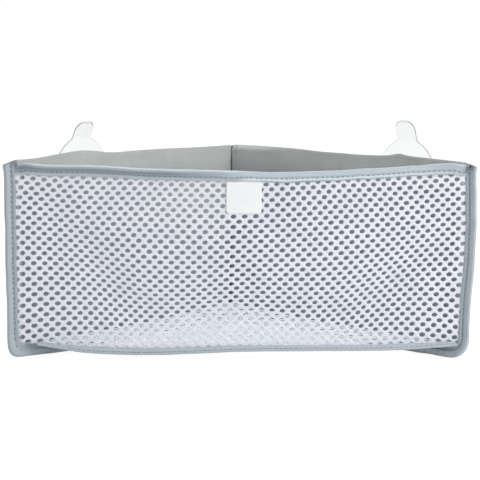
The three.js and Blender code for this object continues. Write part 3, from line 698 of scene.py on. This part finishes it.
def boundSeam(name, stations, half, replaced, rests, seed, sign=1, droop=0.0, inset=seam["stitchInset"], puff=0.2,
              wider=0.0, fold=tape["foldStart"], ramp=0.0, stitch=thread["length"], extra=None, shadeBands=(), broad=1.0):
    # A folded strip carried along stations of origin, outward and side directions: straight from one open edge, round
    # the fold and back, the inner ply a ply's thickness in, and two rows of stitches. An end that droops is a thicker
    # cap, with painted shade on it. puff swells it towards the fold, ramp lifts the first ply to it, and wider takes
    # that ply past the open edge. extra is more tape, as points, quads, flat places and painted shade. shadeBands are
    # bands
    # of painted shade on the first ply: place from the open edge, width, and strength along the seam. broad scales the
    # width.
    t = lengths(stations[0])
    origin, out, side = (part * [sign, 1, 1] for part in stations)
    travel = unit(np.gradient(origin, t, axis=0))
    half, puff, wider = (np.broadcast_to(np.asarray(part, float), t.shape)[:, None] for part in (half, puff, wider))
    turn = linspace(0, pi / 2, 7)[1:]
    d = concatenate([[0, 0.4], linspace(0.9, fold, 17), fold + (seam["tapeWidth"] - fold) * sin(turn)])
    d = concatenate([d, d[-2::-1]])
    face = np.sign(len(d) // 2 - arange(len(d)))
    pucker = tape["pucker"] * cos(2 * pi * t / seam["stitchPitch"])[:, None]
    pucker = pucker * bell(d - inset, 1.6)
    soft = where(face >= 0, waver(t, 44, seed)[:, None], waver(t, 44, seed + 1)[:, None])
    width = (broad + tape["widthVaries"] * waver(t, 63, seed + 2))[:, None]
    cap = droop / 5 * exp(-(t / 6.5) ** 4)[:, None]
    across = (d * width + tape["edgeVaries"] * soft * exp(-d / 3)) * (1 + 0.07 * cap)
    across = across - wider * bell(d, 3) * (face > 0)
    lift = tapeFace(d, half, inset, puff, fold) * face * (1 - pucker + 0.05 * soft)
    lift = lift * where(face > 0, 1 + ramp * (d / seam["tapeWidth"] - 0.3), 1) * (1 + 0.2 * cap)
    lift = lift + tape["edgeLift"] * face * exp(-d / 1.0) * waver(t, 27, seed + 3)[:, None]
    along = -droop * (d / seam["tapeWidth"]) * exp(-t / 9)[:, None]
    tangent = unit(stacked(np.gradient(across, axis=1), np.gradient(lift, axis=1)))
    inner = across + seam["ply"] * tangent[..., 1], lift - seam["ply"] * tangent[..., 0]
    points = concatenate([
        (origin[:, None] + out[:, None] * off[..., None] + side[:, None] * rise[..., None]
         - travel[:, None] * along[..., None]).reshape(-1, 3) for off, rise in ((across, lift), inner)])
    points[:, 2] = maximum(points[:, 2], 0)  # pressed flat where it stands on the ground
    girth = lengths(stacked(d, tapeFace(d, half.max(), inset, puff.mean(), fold) * face))
    flat = np.tile(stacked(t[:, None], girth).reshape(-1, 2), (2, 1))
    quads = closeSheet(gridQuads(len(t), len(d)), len(t) * len(d))
    # painted shade: on a drooping end's cap, then each band of shadeBands
    dim = 0.6 * (droop > 0) * bell(t, 2.2)[:, None] * np.ones_like(d)
    for place, spread, strength in shadeBands:
        strength = np.broadcast_to(np.asarray(strength, float), t.shape)[:, None]
        dim = maximum(dim, strength * bell(d - place, spread) * (face > 0))
    dim = np.tile(dim.reshape(-1), 2)
    if extra is not None:
        if signedVolume(extra[0], extra[1]) * signedVolume(points, quads) < 0:
            extra[1] = extra[1][:, ::-1]
        quads = concatenate([quads, extra[1] + len(points)])
        points, flat, dim = (concatenate(pair) for pair in zip((points, flat, dim), (extra[0], *extra[2:])))
    piece = addPiece(f"{name}Tape", points, [quads], tapeMaterial, f"{replaced}_binding", 70, uv=flat,
                     marks={"paintedTapeShade": dim})
    stitchRow(f"{name}Stitches", t, concatenate([origin, out, side, travel, half, puff], 1), inset, fold, stitch,
              f"{replaced}_thread", seed)


def stitchRow(name, t, stations, inset, fold, length, replaced, seed):
    # Short beads along both faces of the tape, one to a stitch, a little uneven: five rings of six points, thickest
    # in the middle.
    count = int((t[-1] - 4) / seam["stitchPitch"])
    at = (t[-1] - seam["stitchPitch"] * (count - 1)) / 2 + seam["stitchPitch"] * arange(count)
    at = at + np.random.default_rng(seed).uniform(-0.35, 0.35, count)
    picked = stacked(*(interp(at, t, column) for column in stations.T))
    origin, out, side, travel = (picked[:, k:k + 3][:, None, None] for k in (0, 3, 6, 9))
    lift = tapeFace(inset, picked[:, 12], inset, picked[:, 13], fold) * (1 - tape["pucker"]) + 0.12
    ring = (array([-1, -0.72, 0, 0.72, 1]) * length / 2)[:, None]
    size = array([0.25, 0.8, 1, 0.8, 0.25])[:, None] * thread["radius"]
    sunk = (abs(ring) / length * 2) ** 2 * 0.35
    angle = arange(6) * pi / 3
    points = concatenate([
        (origin + travel * ring[..., None] + out * (inset + size * cos(angle))[..., None]
         + side * face * (lift[:, None, None] + size * sin(angle) - sunk)[..., None]).reshape(-1, 3)
        for face in (1, -1)])
    starts = arange(2 * count)[:, None, None] * 30
    quads = (starts + gridQuads(5, 6, around=True)).reshape(-1, 4)
    caps = (starts + stack([arange(5, -1, -1), arange(24, 30)])).reshape(-1, 6)
    for faces in (quads, caps):
        faces[len(faces) // 2:] = faces[len(faces) // 2:, ::-1]
    addPiece(name, points, [quads, caps], threadMaterial, replaced, 75)


sideSeams = dict(
    # bow: how far the seam stands out at heights above the ground; headRise: how far its tape's upper end stands over
    # the tapes' height; footRise: how far its front corner's foot stands off the ground, mm
    left=dict(bow=((0, -0.4), (36, 0.0), (84, 0.8), (135, 1.2), (170, 1.4), (189, 1.9)), headRise=0.9,
              footRise=2.4),
    right=dict(bow=((0, -1.4), (45, -1.0), (112, 2.6), (160, 2.0), (189, 0.9)), headRise=0.2, footRise=0.6),
)
sideSteps = (168, 22, 275)  # stations down the front corner, round it and along the wall's foot
topSteps = 426


def sideStations(sideName):
    # Down the front corner, round the lower corner and back along the wall's foot, a station each mm or so. The
    # lower corner is a squared circle.
    shape, power, radius = sideSeams[sideName], seam["square"][sideName], wall["cornerRadius"]
    footZ = seam["tapeWidth"] + seam["turn"]
    z = linspace(wallHeight + shape["headRise"], footZ + radius, sideSteps[0])
    turn = linspace(0, pi / 2, sideSteps[1] + 2)[1:-1]
    along = linspace(wallLength - radius, 6, sideSteps[2])
    level, drop = cos(turn)[:, None], sin(turn)[:, None]
    square = (level ** power + drop ** power) ** (-1 / power)
    edgeDown = stacked(halfWidth - seam["turn"] + through(z, shape["bow"]), seam["wallInSide"], z)
    centre = backBend + run * (wallLength - radius) + up * (footZ + radius)
    edgeTurn = centre + radius * square * (run * level - up * drop)
    edgeTurn[:, 0] += through(footZ + radius, shape["bow"]) * (1 - ease(0, pi / 2, turn))
    edgeFoot = backBend + run * along[:, None] + up * footZ
    edgeFoot[:, 0] += sides[sideName] * backShift(edgeFoot[:, 1])
    edges = concatenate([edgeDown, edgeTurn, edgeFoot])
    fromCorner = concatenate([z - footZ, 0 * turn, wallLength - along])
    edges[:, 2] += shape["footRise"] * bell(fromCorner, 36)
    outwards = stacked(cos(turn / 2), -sin(turn / 2), 0)
    out = concatenate([stacked(1, 0, 0 * z), (outwards * level - up * drop) * square, stacked(0, 0, 0 * along - 1)])
    go = concatenate([stacked(0, 0, 0 * z - 1), -run * drop - up * level, 0 * edgeFoot - run])
    side = unit(np.cross(go, out))
    return edges + out * seam["turn"] + side * seam["wallInSide"], out, side


def topStations():
    # along the open edge; the ends are thinned and run in under the side tapes
    x = linspace(-1, 1, topSteps) * (halfWidth + 2.0)
    out = topOut(x)
    tucked = ease(halfWidth - 9, halfWidth - 2, abs(x))
    y = frontDepth(x, 0 * x + 1) - seam["netInTop"] * (1 - tucked) + 0.1 * tucked
    return (stacked(x, y, topOpenEdge(x) - 1.5 * tucked), out, -sideOf(out)), 1.95 - 0.45 * tucked


def footStations():
    # along the foot seam, between the two nets; the right end is thinned
    x = linspace(*front["footEnds"], 400)
    out = footOut(x)
    seat = stacked(x, frontDepth(x, 0 * x), footSeam(x))
    tucked = ease(front["footEnds"][1] - 8, front["footEnds"][1], x)
    return (seat + out * seam["turn"] - sideOf(out) * seam["netInFoot"], out, sideOf(out)), 1.5 - 0.4 * tucked


def backStations():
    z = linspace(wallHeight + 0.2, 0, 190)
    return stacked(seam["backShift"], backSeamY, z), stacked(0 * z, 1, 0), stacked(0 * z + 1, 0, 0)


# The side tapes' upper ends are rolled up: a spiral ply round an axis that faces forwards, its inner turns set back.
rolls = dict(
    left=dict(centre=(-210.0, -2.6, 186.2), turns=1.1, inner=1.0, outer=2.2, start=150),
    right=dict(centre=(215.6, -2.4, 184.4), turns=1.6, inner=0.8, outer=3.7, start=200),
    depth=4.3, setBack=1.8, tilt=9.0, ply=0.7, steps=72,
    dim=(0.8, 0.75, 0.6, 0.45, 0.75),  # painted shade, from the hidden end to the one that shows
)


def rolledEnd(roll):
    # radius grows evenly with the turn, across a few rows of depth; a closed sheet one ply thick
    shape = rolls["steps"], len(rolls["dim"])
    share = linspace(0, 1, shape[0])[:, None]
    angle = radians(roll["start"]) - 2 * pi * roll["turns"] * (share - 1)
    radius = roll["inner"] + (roll["outer"] - roll["inner"]) * share
    depth = linspace(0, 1, shape[1]) * (rolls["depth"] - rolls["setBack"] * (1 - share))
    tilt = radians(rolls["tilt"])
    forward, rise = array([0, -cos(tilt), sin(tilt)]), array([0, sin(tilt), cos(tilt)])
    radial = cos(angle)[..., None] * array([1.0, 0, 0]) + sin(angle)[..., None] * rise
    points = bothFaces(array(roll["centre"]) + radial * radius[..., None] + forward * depth[..., None],
                       radial * rolls["ply"] / 2)
    flat = stacked(share * 2 * pi * roll["turns"] * radius.mean(), depth).reshape(-1, 2)
    dim = np.tile(rolls["dim"], 2 * shape[0])
    return [points, closeSheet(gridQuads(*shape), shape[0] * shape[1]), np.tile(flat, (2, 1)), dim]


atCorner = interp(arange(sum(sideSteps)), [172, 186, 212, 222], [0, 1, 1, 0])  # at the left corner's foot
topX = linspace(-1, 1, topSteps) * halfWidth
narrower = 0.1 * bell(topX - front["leanTurn"], 8)  # where the top tape turns over
# shadeBands paint shade: on the right tape's lip and stitch groove, the left tape's groove and lower corner, the top
# tape's left face and stitch groove, and the foot tape's groove
boundSeam("rightSide", sideStations("right"), 2.65, "right_edge", ["frontNet", "rightWall", "floorNet"], 31,
          droop=4.0, inset=3.5, puff=0.55, ramp=1.2, extra=rolledEnd(rolls["right"]),
          shadeBands=((1.2, 2.1, 0.55), (3.5, 0.9, 0.75)))
boundSeam("leftSide", sideStations("left"), 2.65, "left_edge", ["frontNet", "leftWall", "floorNet"], 41, sign=-1,
          droop=4.6, inset=3.6, puff=0.35, wider=5.2 * atCorner + 0.3, extra=rolledEnd(rolls["left"]),
          shadeBands=((3.6, 1.2, 0.12), (1.0, 3.0, 0.4 * atCorner)))
boundSeam("top", *topStations(), "top", ["frontNet"], 51, puff=0.3 - 0.35 * ease(8, -25, topX), fold=9.2,
          shadeBands=((6.4, 2.3, 0.85 * ease(-2, -75, topX)), (3.4, 0.9, 0.15 + 0.5 * ease(10, -60, topX))),
          broad=1 - narrower)
boundSeam("foot", *footStations(), "front_bottom", ["frontNet", "floorNet"], 61, inset=8.9, puff=0.1, fold=9.7,
          stitch=4.4, shadeBands=((8.9, 0.6, 1.0),))
boundSeam("back", backStations(), 3.5, "back_seam", ["leftWall", "rightWall"], 71, droop=1.5)
print("tapes made")


# Label, matt moulded soft rubber: bare, with rounded edges and a fine spark-eroded grain.
label = dict(
    centre=2.5,
    width=33.3,
    low=139.6,
    high=176.5,
    thickness=1.6,
    corner=2.6,
    edge=0.9,  # width of the rounded edge
    colour="#F8FAFB",
    shade="#F1F4F6",
    mottle=9.0,
    bump=(0.12, 0.1),
    shader={"Roughness": 0.5, "IOR": 1.45},
    grain=0.5,
)
labelMaterial, add = newMaterial("mouldedSoftRubber")
place = add("TexCoord").outputs["Object"]
grain = add("TexNoise", {"Vector": place, "Scale": 1 / (label["grain"] * mm), "Detail": 2.0})
mottle = add("TexNoise", {"Vector": place, "Scale": 1 / (label["mottle"] * mm), "Detail": 2.0})
add("OutputMaterial", {"Surface": surface(add, label, {"colour": mottle}, grain)})


def labelPiece():
    # A square grid drawn on to a rounded rectangle ring by ring, hung in front of the net; the face rounds off
    # to the edge as a quarter circle, and the top is thinned inside the tape.
    side = linspace(-1, 1, 49)
    side = np.sign(side) * (1 - (1 - abs(side)) ** 1.5)
    i, j = np.meshgrid(side, side, indexing="ij")
    ring = maximum(abs(i), abs(j))
    halfW, halfH = label["width"] / 2, (label["high"] - label["low"]) / 2
    p, q = i * halfW, j * halfH
    cornerP, cornerQ = abs(p) - (halfW - label["corner"]) * ring, abs(q) - (halfH - label["corner"]) * ring
    shrink = where((cornerP > 0) & (cornerQ > 0),
                   maximum(cornerP, cornerQ) / maximum(hypot(cornerP, cornerQ), 1e-6), 1)
    x = label["centre"] + p - np.sign(p) * cornerP * (1 - shrink)
    z = (label["low"] + label["high"]) / 2 + q - np.sign(q) * cornerQ * (1 - shrink)
    rounded = sqrt(1 - clip(1 - (1 - ring) * halfW / label["edge"], 0, 0.97) ** 2)
    topZ, footZ = topOpenEdge(x), footSeam(x)
    tucked = ease(-2.5, 0.5, z - topZ)
    half = label["thickness"] / 2 * rounded * (1 - 0.56 * tucked)
    y = frontDepth(x, clip((z - footZ) / (topZ - footZ), 0, 1)) - 0.25 + 0.63 * tucked
    y = y - (net["thickness"] + label["thickness"]) / 2
    hung = stacked(x, y, minimum(z, topZ)) + topOut(x) * maximum(z - topZ, 0)[..., None]
    points = bothFaces(hung, array([0, -0.997, 0.08]) * half[..., None])
    quads = closeSheet(gridQuads(len(side), len(side)), len(side) ** 2)
    addPiece("rubberLabel", points, [quads], labelMaterial, "label_patch", 60)


labelPiece()
print("label made")


# Eyelets, moulded plastic rings: a flanged barrel rolled over a washer inside the wall.
eyelet = dict(
    # outlines: radius, and depth from the wall's middle, outwards
    barrel=((3.6, -3.2), (3.6, 2.1), (6.4, 2.1), (6.4, 1.15), (4.2, 1.15), (4.2, -2.4), (5.1, -2.4), (5.1, -3.2)),
    washer=((4.5, -2.1), (4.5, -1.15), (6.4, -1.15), (6.4, -2.1)),
    barrelEdge=0.4,  # size of the rounded edges
    washerEdge=0.35,
    steps=48,
    colour="#BCC1C5",
    shade="#B2B7BB",
    flow=3.0,
    shader={"IOR": 1.49},
)
eyeletMaterial, add = newMaterial("mouldedPolypropylene")  # satin, with a faint flow mottle
place = add("TexCoord").outputs["Object"]
flow = add("TexNoise", {"Vector": place, "Scale": 1 / (eyelet["flow"] * mm), "Detail": 3.0})
shine = add("MapRange", {"Value": flow, "To Min": 0.3, "To Max": 0.45})
add("OutputMaterial", {"Surface": surface(add, eyelet, {"colour": flow}, Roughness=shine)})


def cupFrame(sideName):
    # the joint's place, and directions across, up and out of the wall
    joint = cupJoints[f"{sideName}_cup"]
    axis = unit(array(joint["axis"]))
    return array(joint["pos_m"]) / mm - [0, frontY, 0], np.cross(up, axis), axis


def roundCorners(corners, radius, steps=4):
    # a closed outline with each corner drawn as a quadratic curve that starts and ends a radius off it
    c = np.asarray(corners, float)
    t = linspace(0, 1, steps)[None, :, None]
    ends = []
    for shift in (1, -1):
        toNext = np.roll(c, shift, 0) - c
        length = np.linalg.norm(toNext, axis=1, keepdims=True)
        ends.append((c + toNext / length * minimum(radius, 0.48 * length))[:, None])
    return ((1 - t) ** 2 * ends[0] + 2 * t * (1 - t) * c[:, None] + t ** 2 * ends[1]).reshape(-1, 2)


def turnedRing(name, sideName, part, replaced):
    # a closed outline of radius and depth carried round the cup's axis
    centre, across, axis = cupFrame(sideName)
    outline = roundCorners(eyelet[part], eyelet[part + "Edge"])
    steps, count = eyelet["steps"], len(outline)
    angle = arange(steps) * 2 * pi / steps
    radial = cos(angle)[:, None] * across + sin(angle)[:, None] * up
    points = centre + radial[:, None] * outline[:, :1] + axis * outline[:, 1:]
    quads = gridQuads(steps + 1, count, around=True) % (steps * count)
    addPiece(name, points.reshape(-1, 3), [quads], eyeletMaterial, replaced, 50)


for sideName in sides:
    turnedRing(f"{sideName}Eyelet", sideName, "barrel", f"{sideName}_eyelet")
    turnedRing(f"{sideName}Washer", sideName, "washer", f"{sideName}_eyelet_washer")
print("eyelets made")


# Suction cups, clear moulded vinyl: nearly colourless, glossy, painted grey where it is seen edge on and darker along
# its rim, in place of the dark that refraction shows there.
cup = dict(
    radius=33.4,
    # head, stud and shoulder: radius and depth from the wall's middle, outwards
    stem=((0.05, -5.8), (3.0, -5.8), (4.4, -5.5), (5.2, -4.7), (5.0, -4.0), (4.4, -3.5), (3.3, -3.4), (3.3, -0.5),
          (3.3, 2.4), (5.6, 2.4), (6.3, 2.7), (6.6, 3.4), (6.6, 4.6)),
    shoulder=6.6,
    shoulderTo=5.0,
    rimFrom=12.6,
    seal=13.9,
    sealWidth=4.0,
    hollow=4.5,
    round=26.0,  # rings are circles up to here
    tabHalf=11.5,
    tabCorner=9.0,
    tabThickness=1.6,
    tabJoin=1.4,  # softness of the corner between disc and tab
    shade="#F9FAFA",
    # painted shade: grey where seen slanted and darker on the rim, in place of the dark a thick clear rim shows
    slantShadeColour="#DFE1E2",
    edgeAndShadeColour="#787D80",
    shadowColour="#EDEFEF",
    haze=16.0,
    shader={"IOR": 1.12, "Transmission Weight": 1.0, "Coat Weight": 0.35, "Coat Roughness": 0.06},
    steps=144,
)
cupTabs = dict(
    # top from the cup's middle, mm, and lean towards the bag, degrees
    left=dict(top=48.3, lean=30.0),
    right=dict(top=51.5, lean=20.0),
)
vinylMaterial, add = newMaterial("clearMouldedVinyl")
place = add("TexCoord").outputs["Object"]
haze = add("TexNoise", {"Vector": place, "Scale": 1 / (cup["haze"] * mm), "Detail": 2.0})
shine = add("MapRange", {"Value": haze, "To Min": 0.03, "To Max": 0.1})
# painted shade on the slant and the rim
facing = add("LayerWeight", {"Blend": 0.25}).outputs["Facing"]
rim = add("Attribute", attribute_name="rimShade").outputs["Fac"]
within = add("NewGeometry").outputs["Backfacing"]
faint = add("MapRange", {"Value": within, "To Min": 1.0, "To Max": 0.15})  # the painted rim shade fades where seen from inside
rimShadeShare = add("Math", {0: rim, 1: faint}, operation="MULTIPLY")
vinyl = surface(add, cup, {"slantShadeColour": facing, "edgeAndShadeColour": rimShadeShare}, Roughness=shine)
clear = add("BsdfTransparent", {"Color": linear(cup["shadowColour"])})
ray = add("LightPath").outputs
either = add("Math", {0: ray["Is Shadow Ray"], 1: ray["Is Diffuse Ray"]}, operation="MAXIMUM")
mixed = add("MixShader", {0: either, 1: vinyl, 2: clear})
add("OutputMaterial", {"Surface": mixed})


def cupOutline(tabTop):
    # the disc joined to the tab: along rays from a point above the middle, the farther of the two, then
    # resampled to even steps
    angle = linspace(0, 2 * pi, 4001)[:-1]
    eye = array([0.0, 12.0])
    ray = stacked(sin(angle), cos(angle))
    b = ray @ eye
    disc = -b + sqrt(b ** 2 - eye @ eye + cup["radius"] ** 2)
    reach = linspace(0, 60, 1201)
    corner, soft = cup["tabCorner"], cup["tabJoin"]
    du = abs(ray[:, :1] * reach) - (cup["tabHalf"] - corner)
    dv = eye[1] + ray[:, 1:] * reach - (tabTop - corner)
    off = hypot(maximum(du, 0), maximum(dv, 0)) + minimum(maximum(du, dv), 0) - corner
    tab = reach[np.argmax(off > 0, axis=1)]
    far = np.log(exp(minimum(disc, 80) / soft) + exp(tab / soft)) * soft
    far = where(eye[1] + ray[:, 1] * far < 20, disc, far)
    outline = eye + ray * far[:, None]
    ringed = concatenate([outline, outline[:1]])
    length = lengths(ringed)
    at = linspace(0, length[-1], cup["steps"] + 1)[:-1]
    return stacked(*(interp(at, length, part) for part in ringed.T))


def cupPiece(sideName):
    # Rings from the head's end out to the outline on the wall's side and back in to the middle of the sealing side.
    # Near the axis a ring is a circle; towards the rim it becomes the outline. The tab leans to the bag.
    tab, radius, steps = cupTabs[sideName], cup["radius"], cup["steps"]
    outline = cupOutline(tab["top"])
    circle = unit(outline)

    def lean(q):
        over = maximum(q[..., 1] - radius + 1.5, 0)
        return np.tan(radians(tab["lean"])) * over ** 2 / (over + 3)

    def bagSide(q):
        r = minimum(np.linalg.norm(q, axis=-1), radius)
        share = clip((r - cup["shoulder"]) / (radius - cup["shoulder"]), 0, 1)
        over = ease(radius - 3, radius + 4, q[..., 1])
        thicker = (cup["tabThickness"] - cup["seal"] + cup["rimFrom"]) * over
        return cup["shoulderTo"] + (cup["rimFrom"] - cup["shoulderTo"]) * share ** 0.75 - lean(q) - thicker

    def sealSide(q):
        r = np.linalg.norm(q, axis=-1)
        return cup["seal"] - cup["hollow"] * clip(1 - (r / (radius - cup["sealWidth"])) ** 2, 0, 1) - lean(q)

    def ringOf(q, depth):
        return stacked(q[:, 0], q[:, 1], depth)

    rings = [ringOf(circle * r, depth) for r, depth in cup["stem"]]
    flats = [circle * r for r in linspace(cup["shoulder"] + 0.4, cup["round"], 9)]
    outer = [circle * cup["round"] * (1 - s) + outline * s for s in linspace(0, 1, 10)[1:-1]]
    rimRing = outline - 0.55 * circle
    rings += [ringOf(q, bagSide(q)) for q in flats + outer + [rimRing]]
    firstEdge = len(rings)
    rings += [ringOf(outline, (1 - s) * bagSide(outline) + s * sealSide(outline)) for s in (0.15, 0.85)]
    back = [circle * r for r in (0.05, 3, 7, 12, 17, 22)] + outer
    rings += [ringOf(q, sealSide(q)) for q in [rimRing] + back[::-1]]
    local = stack(rings)
    centre, across, axis = cupFrame(sideName)
    points = centre + local[..., :1] * across + local[..., 1:2] * up + local[..., 2:] * axis
    caps = stack([arange(steps)[::-1], (len(rings) - 1) * steps + arange(steps)])
    # painted shade on the rim rings
    rimShade = np.zeros((len(rings), steps))
    rimShade[firstEdge - 1] = 0.5
    rimShade[firstEdge:firstEdge + 2] = 1
    addPiece(f"{sideName}Cup", points.reshape(-1, 3), [gridQuads(len(rings), steps, around=True), caps], vinylMaterial,
             f"{sideName}_suction_cup", 40, f"{sideName}_cup", marks={"rimShade": rimShade})


for sideName in sides:
    cupPiece(sideName)
print("cups made")


# Stage: a white floor that keeps a light shadow, soft white light all round, and a key from the upper right.
stage = dict(
    floorSize=8.0,
    floorShare=0.2,  # how much of the floor's white takes light and shadow
    bounce=0.75,  # how much light the floor throws back
    ambient=0.425,
    lamps=dict(
        key=dict(at=(0.85, -1.1, 0.62), size=1.2, power=10.4),
        overhead=dict(at=(0.0, 0.0, 1.5), size=0.6, power=13.0),
        back=dict(at=(0.2, 1.2, 1.3), size=1.2, power=1.7)),
    aim=(0.0, 0.0, 0.1),
)


def seenDirect(add):
    # 1 for what the camera sees, straight or in gloss or through the clear cups
    ray = add("LightPath").outputs
    bent = add("Math", {0: ray["Is Glossy Ray"], 1: ray["Is Transmission Ray"]}, operation="MAXIMUM")
    return add("Math", {0: ray["Is Camera Ray"], 1: bent}, operation="MAXIMUM")


floorMaterial, add = newMaterial("whitePaperFloor")
lit = add("BsdfDiffuse", {"Color": (stage["floorShare"],) * 3 + (1,)})
glow = add("Emission", {"Color": (1, 1, 1, 1), "Strength": 1.005 - stage["floorShare"] * stage["ambient"]})
seen = add("AddShader", {0: lit, 1: glow})
bounce = add("BsdfDiffuse", {"Color": (stage["bounce"],) * 3 + (1,)})
mixed = add("MixShader", {0: seenDirect(add), 1: bounce, 2: seen})
add("OutputMaterial", {"Surface": mixed})
reach = stage["floorSize"] / 2
ground = bpy.data.meshes.new("paperFloor")
ground.from_pydata([(-reach, -reach, 0), (reach, -reach, 0), (reach, reach, 0), (-reach, reach, 0)], [], [(0, 1, 2, 3)])
ground.materials.append(floorMaterial)
addObject("paperFloor", ground)

world = bpy.data.worlds.new("softWhiteRoom")
bpy.context.scene.world = world
world.use_nodes = True
world.node_tree.nodes.clear()
add = partial(addNode, world.node_tree)
soft = add("Background", {"Color": (1, 1, 1, 1), "Strength": stage["ambient"]})
white = add("Background", {"Color": (1, 1, 1, 1), "Strength": 1.0})
mixed = add("MixShader", {0: seenDirect(add), 1: soft, 2: white})
add("OutputWorld", {"Surface": mixed})

for name, lamp in stage["lamps"].items():
    light = bpy.data.lights.new(name + "Light", "AREA")
    light.shape = "DISK"
    light.size = lamp["size"]
    light.energy = lamp["power"]
    holder = addObject(name + "Light", light)
    holder.location = lamp["at"]
    holder.rotation_euler = (Vector(stage["aim"]) - Vector(lamp["at"])).to_track_quat("-Z", "Y").to_euler()

# Camera, fitted to the seams and corners in the picture
view = dict(at=(-0.069, -1.6029, 0.3162), tilt=82.35, pan=-2.6, roll=0.43, lens=120.0, sensor=36.0)
camera = addObject("camera", bpy.data.cameras.new("camera"))
camera.location = view["at"]
pan, tilt, roll = (Matrix.Rotation(radians(view[name]), 3, axis)
                   for name, axis in (("pan", "Z"), ("tilt", "X"), ("roll", "Z")))
camera.rotation_euler = (pan @ tilt @ roll).to_euler()
camera.data.lens = view["lens"]
camera.data.sensor_width = view["sensor"]
bpy.context.scene.camera = camera
bpy.context.scene.view_settings.view_transform = "Standard"

print("scene made")
